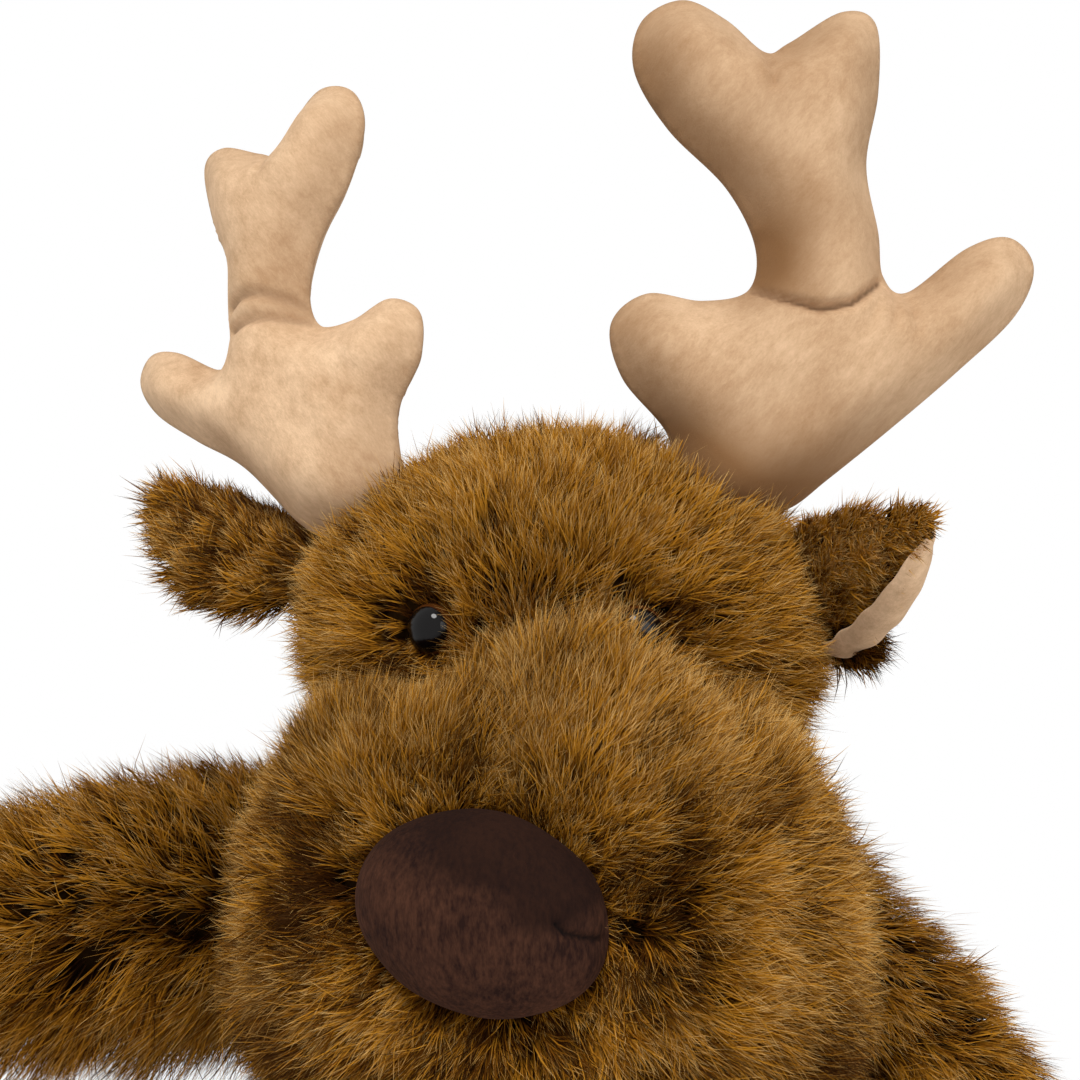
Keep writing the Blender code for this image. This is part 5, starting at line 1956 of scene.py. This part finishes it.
@dataclass
class Studio:
    """The floor, the lights, the white surroundings and the camera."""

    place: Vector = Vector((0.1106, -0.7701, 0.4520))
    heading: Vector = Vector((-0.1736, 0.9848, 0.0))
    lens: float = 45.5
    sensor: float = 36.0
    clip_start: float = 0.02
    floor: float = 6.0
    floor_faces: int = 96
    floor_tone: float = 0.86
    fade: tuple[float, float] = (0.26, 0.46)
    fill: float = 0.32
    lamps: tuple[Lamp, ...] = (
        Lamp("key", (-0.15, -1.6, 2.2), (0.0, -0.05, 0.35), 0.80, 34.0, (1.0, 0.98, 0.95)),
        Lamp("side", (1.3, -1.5, 0.9), (0.0, -0.05, 0.35), 1.3, 11.0, (1.0, 0.99, 0.97)),
        Lamp("rim", (0.4, 1.6, 1.7), (0.0, 0.0, 0.40), 1.2, 9.0, WHITE),
    )

    def build(self) -> None:
        """Set everything up."""
        self.build_world()
        self.build_floor()
        for lamp in self.lamps:
            lamp.build()
        camera = bpy.data.cameras.new("camera")
        camera.lens = self.lens
        camera.sensor_width = self.sensor
        camera.clip_start = self.clip_start
        seat = bpy.data.objects.new("camera", camera)
        seat.location = self.place
        seat.rotation_euler = self.heading.to_track_quat("-Z", "Y").to_euler()
        bpy.context.scene.collection.objects.link(seat)
        bpy.context.scene.camera = seat

    def build_world(self) -> None:
        """White to the camera and in reflections, and a soft fill for the rest."""
        world = bpy.data.worlds.new("surroundings")
        bpy.context.scene.world = world
        world.use_nodes = True
        nodes = Nodes(world.node_tree)
        seen = self.seen(nodes)
        soft = nodes.add("ShaderNodeBackground", None, {"Color": WHITE, "Strength": self.fill})
        white = nodes.add("ShaderNodeBackground", None, {"Color": WHITE, "Strength": 1.0})
        mixed = nodes.add("ShaderNodeMixShader", None, {0: seen, 1: soft, 2: white})
        nodes.finish(mixed, "ShaderNodeOutputWorld")

    @staticmethod
    def seen(nodes: Nodes) -> Value:
        """1 for rays from the camera, a reflection or glass."""
        rays = [
            nodes.add("ShaderNodeLightPath", None, None, name)
            for name in ("Is Camera Ray", "Is Glossy Ray", "Is Transmission Ray")
        ]
        return rays[0].most(rays[1]).most(rays[2])

    def build_floor(self) -> None:
        """A plain pale floor that fades to white."""
        mesh = bmesh.new()
        round_edge = {"segments": self.floor_faces, "radius": self.floor}
        bmesh.ops.create_circle(mesh, cap_ends=True, cap_tris=False, **round_edge)
        floor = finished(mesh, "floor")
        material, nodes = new_material("pale_floor")
        reach = nodes.add("ShaderNodeVectorMath", {"operation": "LENGTH"}, {0: nodes.object_place()}, "Value")
        fade = nodes.span(reach, *self.fade)
        matt = nodes.add("ShaderNodeBsdfDiffuse", None, {"Color": 3 * (self.floor_tone,)})
        white = nodes.add("ShaderNodeEmission", None, {"Color": WHITE, "Strength": 1.0})
        nodes.finish(nodes.add("ShaderNodeMixShader", None, {0: fade * self.seen(nodes), 1: matt, 2: white}))
        floor.data.materials.append(material)


def pointing(side: float, drop: float, lean: float) -> Vector:
    """The way a limb points, when it drops below level and leans forward by so many degrees."""
    drop, lean = math.radians(drop), math.radians(lean)
    return Vector((side * math.cos(drop) * math.cos(lean), -math.cos(drop) * math.sin(lean), -math.sin(drop)))


def limbs() -> list[Limb]:
    """The arms and legs, each at its joint."""
    arm_pile = Pile(33000, length=0.027, width=0.0007)
    leg_pile = Pile(20000, length=0.024, width=0.0013, steps=2)
    arm = (0.048, 0.063, 0.245, 0.058, ARM_SHARES, arm_pile)
    leg = (0.050, 0.062, 0.160, 0.058, LEG_SHARES, leg_pile)
    shoulders = [Vector((side.value * 0.100, 0.0, 0.262)) for side in Side]
    hips = [Vector((side.value * 0.086, -0.066, 0.0625)) for side in Side]
    held_out = {"hang": 0.5, "close": 0.55, "tone": 0.64}
    return [
        Limb("arm", Side.LEFT, shoulders[0], pointing(1.0, 55.0, 3.0), *arm, 101, tone=0.58),
        Limb("arm", Side.RIGHT, shoulders[1], pointing(-1.0, 4.5, 20.0), *arm, 111, **held_out),
        Limb("leg", Side.LEFT, hips[0], pointing(1.0, 0.0, 60.0), *leg, 121),
        Limb("leg", Side.RIGHT, hips[1], pointing(-1.0, 0.0, 60.0), *leg, 131),
    ]


def antlers() -> list[Antler]:
    """The two antlers at their roots."""
    left_bend = ((0.043, 0.381), (0.097, 0.349), (0.175, 0.327), (0.240, 0.341), (0.309, 0.391))
    right_bend = ((0.260, 0.425), (0.197, 0.425), (0.139, 0.415), (0.081, 0.397), (0.039, 0.386))
    upper_bend = ((0.255, 0.487), (0.201, 0.494), (0.148, 0.482), (0.092, 0.454), (0.038, 0.412))
    left = (
        Crease(left_bend, 0.0022, 0.0062),
        Crease(((0.345, 0.385), (0.325, 0.300)), 0.0024, 0.0022),
        Crease(((0.360, 0.370), (0.375, 0.290)), 0.0024, 0.0022),
        Crease(((0.300, 0.360), (0.270, 0.290)), 0.0030, 0.0014),
        Crease(((0.080, 0.880), (0.082, 0.780)), 0.0030, 0.0032),
    )
    right = (
        Crease(right_bend, 0.0032, 0.0050),
        Crease(upper_bend, 0.0034, 0.0048),
        Crease(((0.080, 0.880), (0.082, 0.800)), 0.0030, 0.0026),
        Crease(((-0.020, 0.120), (-0.080, 0.200)), 0.0040, 0.0014),
        Crease(((0.010, 0.170), (-0.060, 0.245)), 0.0040, 0.0012),
    )
    # upper, root_end, edge and base set each antler's painted shade.
    return [
        Antler(
            Side.LEFT,
            Vector((0.0846, -0.1020, 0.4814)),
            (12.0, 0.0, 0.0),
            height=0.236,
            stalk=0.002,
            creases=left,
            upper=0.26,
            root_end=0.24,
            edge=0.60,
            base=0.28,
        ),
        Antler(
            Side.RIGHT,
            Vector((-0.0957, -0.1020, 0.4730)),
            (18.0, 5.0, 16.0),
            height=0.212,
            stalk=0.018,
            creases=right,
            upper=0.20,
            root_end=0.06,
            edge=0.45,
        ),
    ]


def ears() -> list[Ear]:
    """The two ears at their roots."""
    left_axes = ((-0.3967, -0.0679, 0.9155), (-0.6997, -0.6232, -0.3494), (0.5942, -0.7791, 0.1997))
    right_axes = ((-0.2786, -0.8777, -0.3899), (0.256, -0.4592, 0.8506), (-0.9257, 0.1371, 0.3526))
    lifts = {"root_lift": math.radians(42), "tip_lift": math.radians(6)}
    close_pile = Pile(17000, length=0.019, width=0.0007, **lifts)
    return [
        Ear(
            Side.LEFT,
            Vector((0.1190, -0.0920, 0.4280)),
            tuple(Vector(axis) for axis in left_axes),
            length=0.098,
            tone=0.80,
            roll=0.004,
            hem=0.006,
            bend=0.015,
            lining_end=0.99,
            lining_width=0.985,
            pile=close_pile,
        ),
        Ear(Side.RIGHT, Vector((-0.1235, -0.078, 0.434)), tuple(Vector(axis) for axis in right_axes)),
    ]


def main() -> None:
    """Build the deer's looks piece by piece."""
    logging.basicConfig(level=logging.INFO, format="%(name)s: %(message)s")
    bpy.context.scene.view_settings.view_transform = "Standard"
    wardrobe = Wardrobe.sewn()
    for part in (Torso(), Neck(), Tail()):
        part.build(wardrobe)
    for limb in limbs():
        limb.build(wardrobe)
    for part in (Head(), Muzzle(), Nose()):
        part.build(wardrobe)
    for side in Side:
        Eye(side).build()
        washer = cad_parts[f"eye_washer_{side.word}"]
        washer.data.materials.clear()
        washer.data.materials.append(wardrobe.plastic)
    for part in (*antlers(), *ears()):
        part.build(wardrobe)
    Studio().build()


if __name__ == "__main__":
    main()
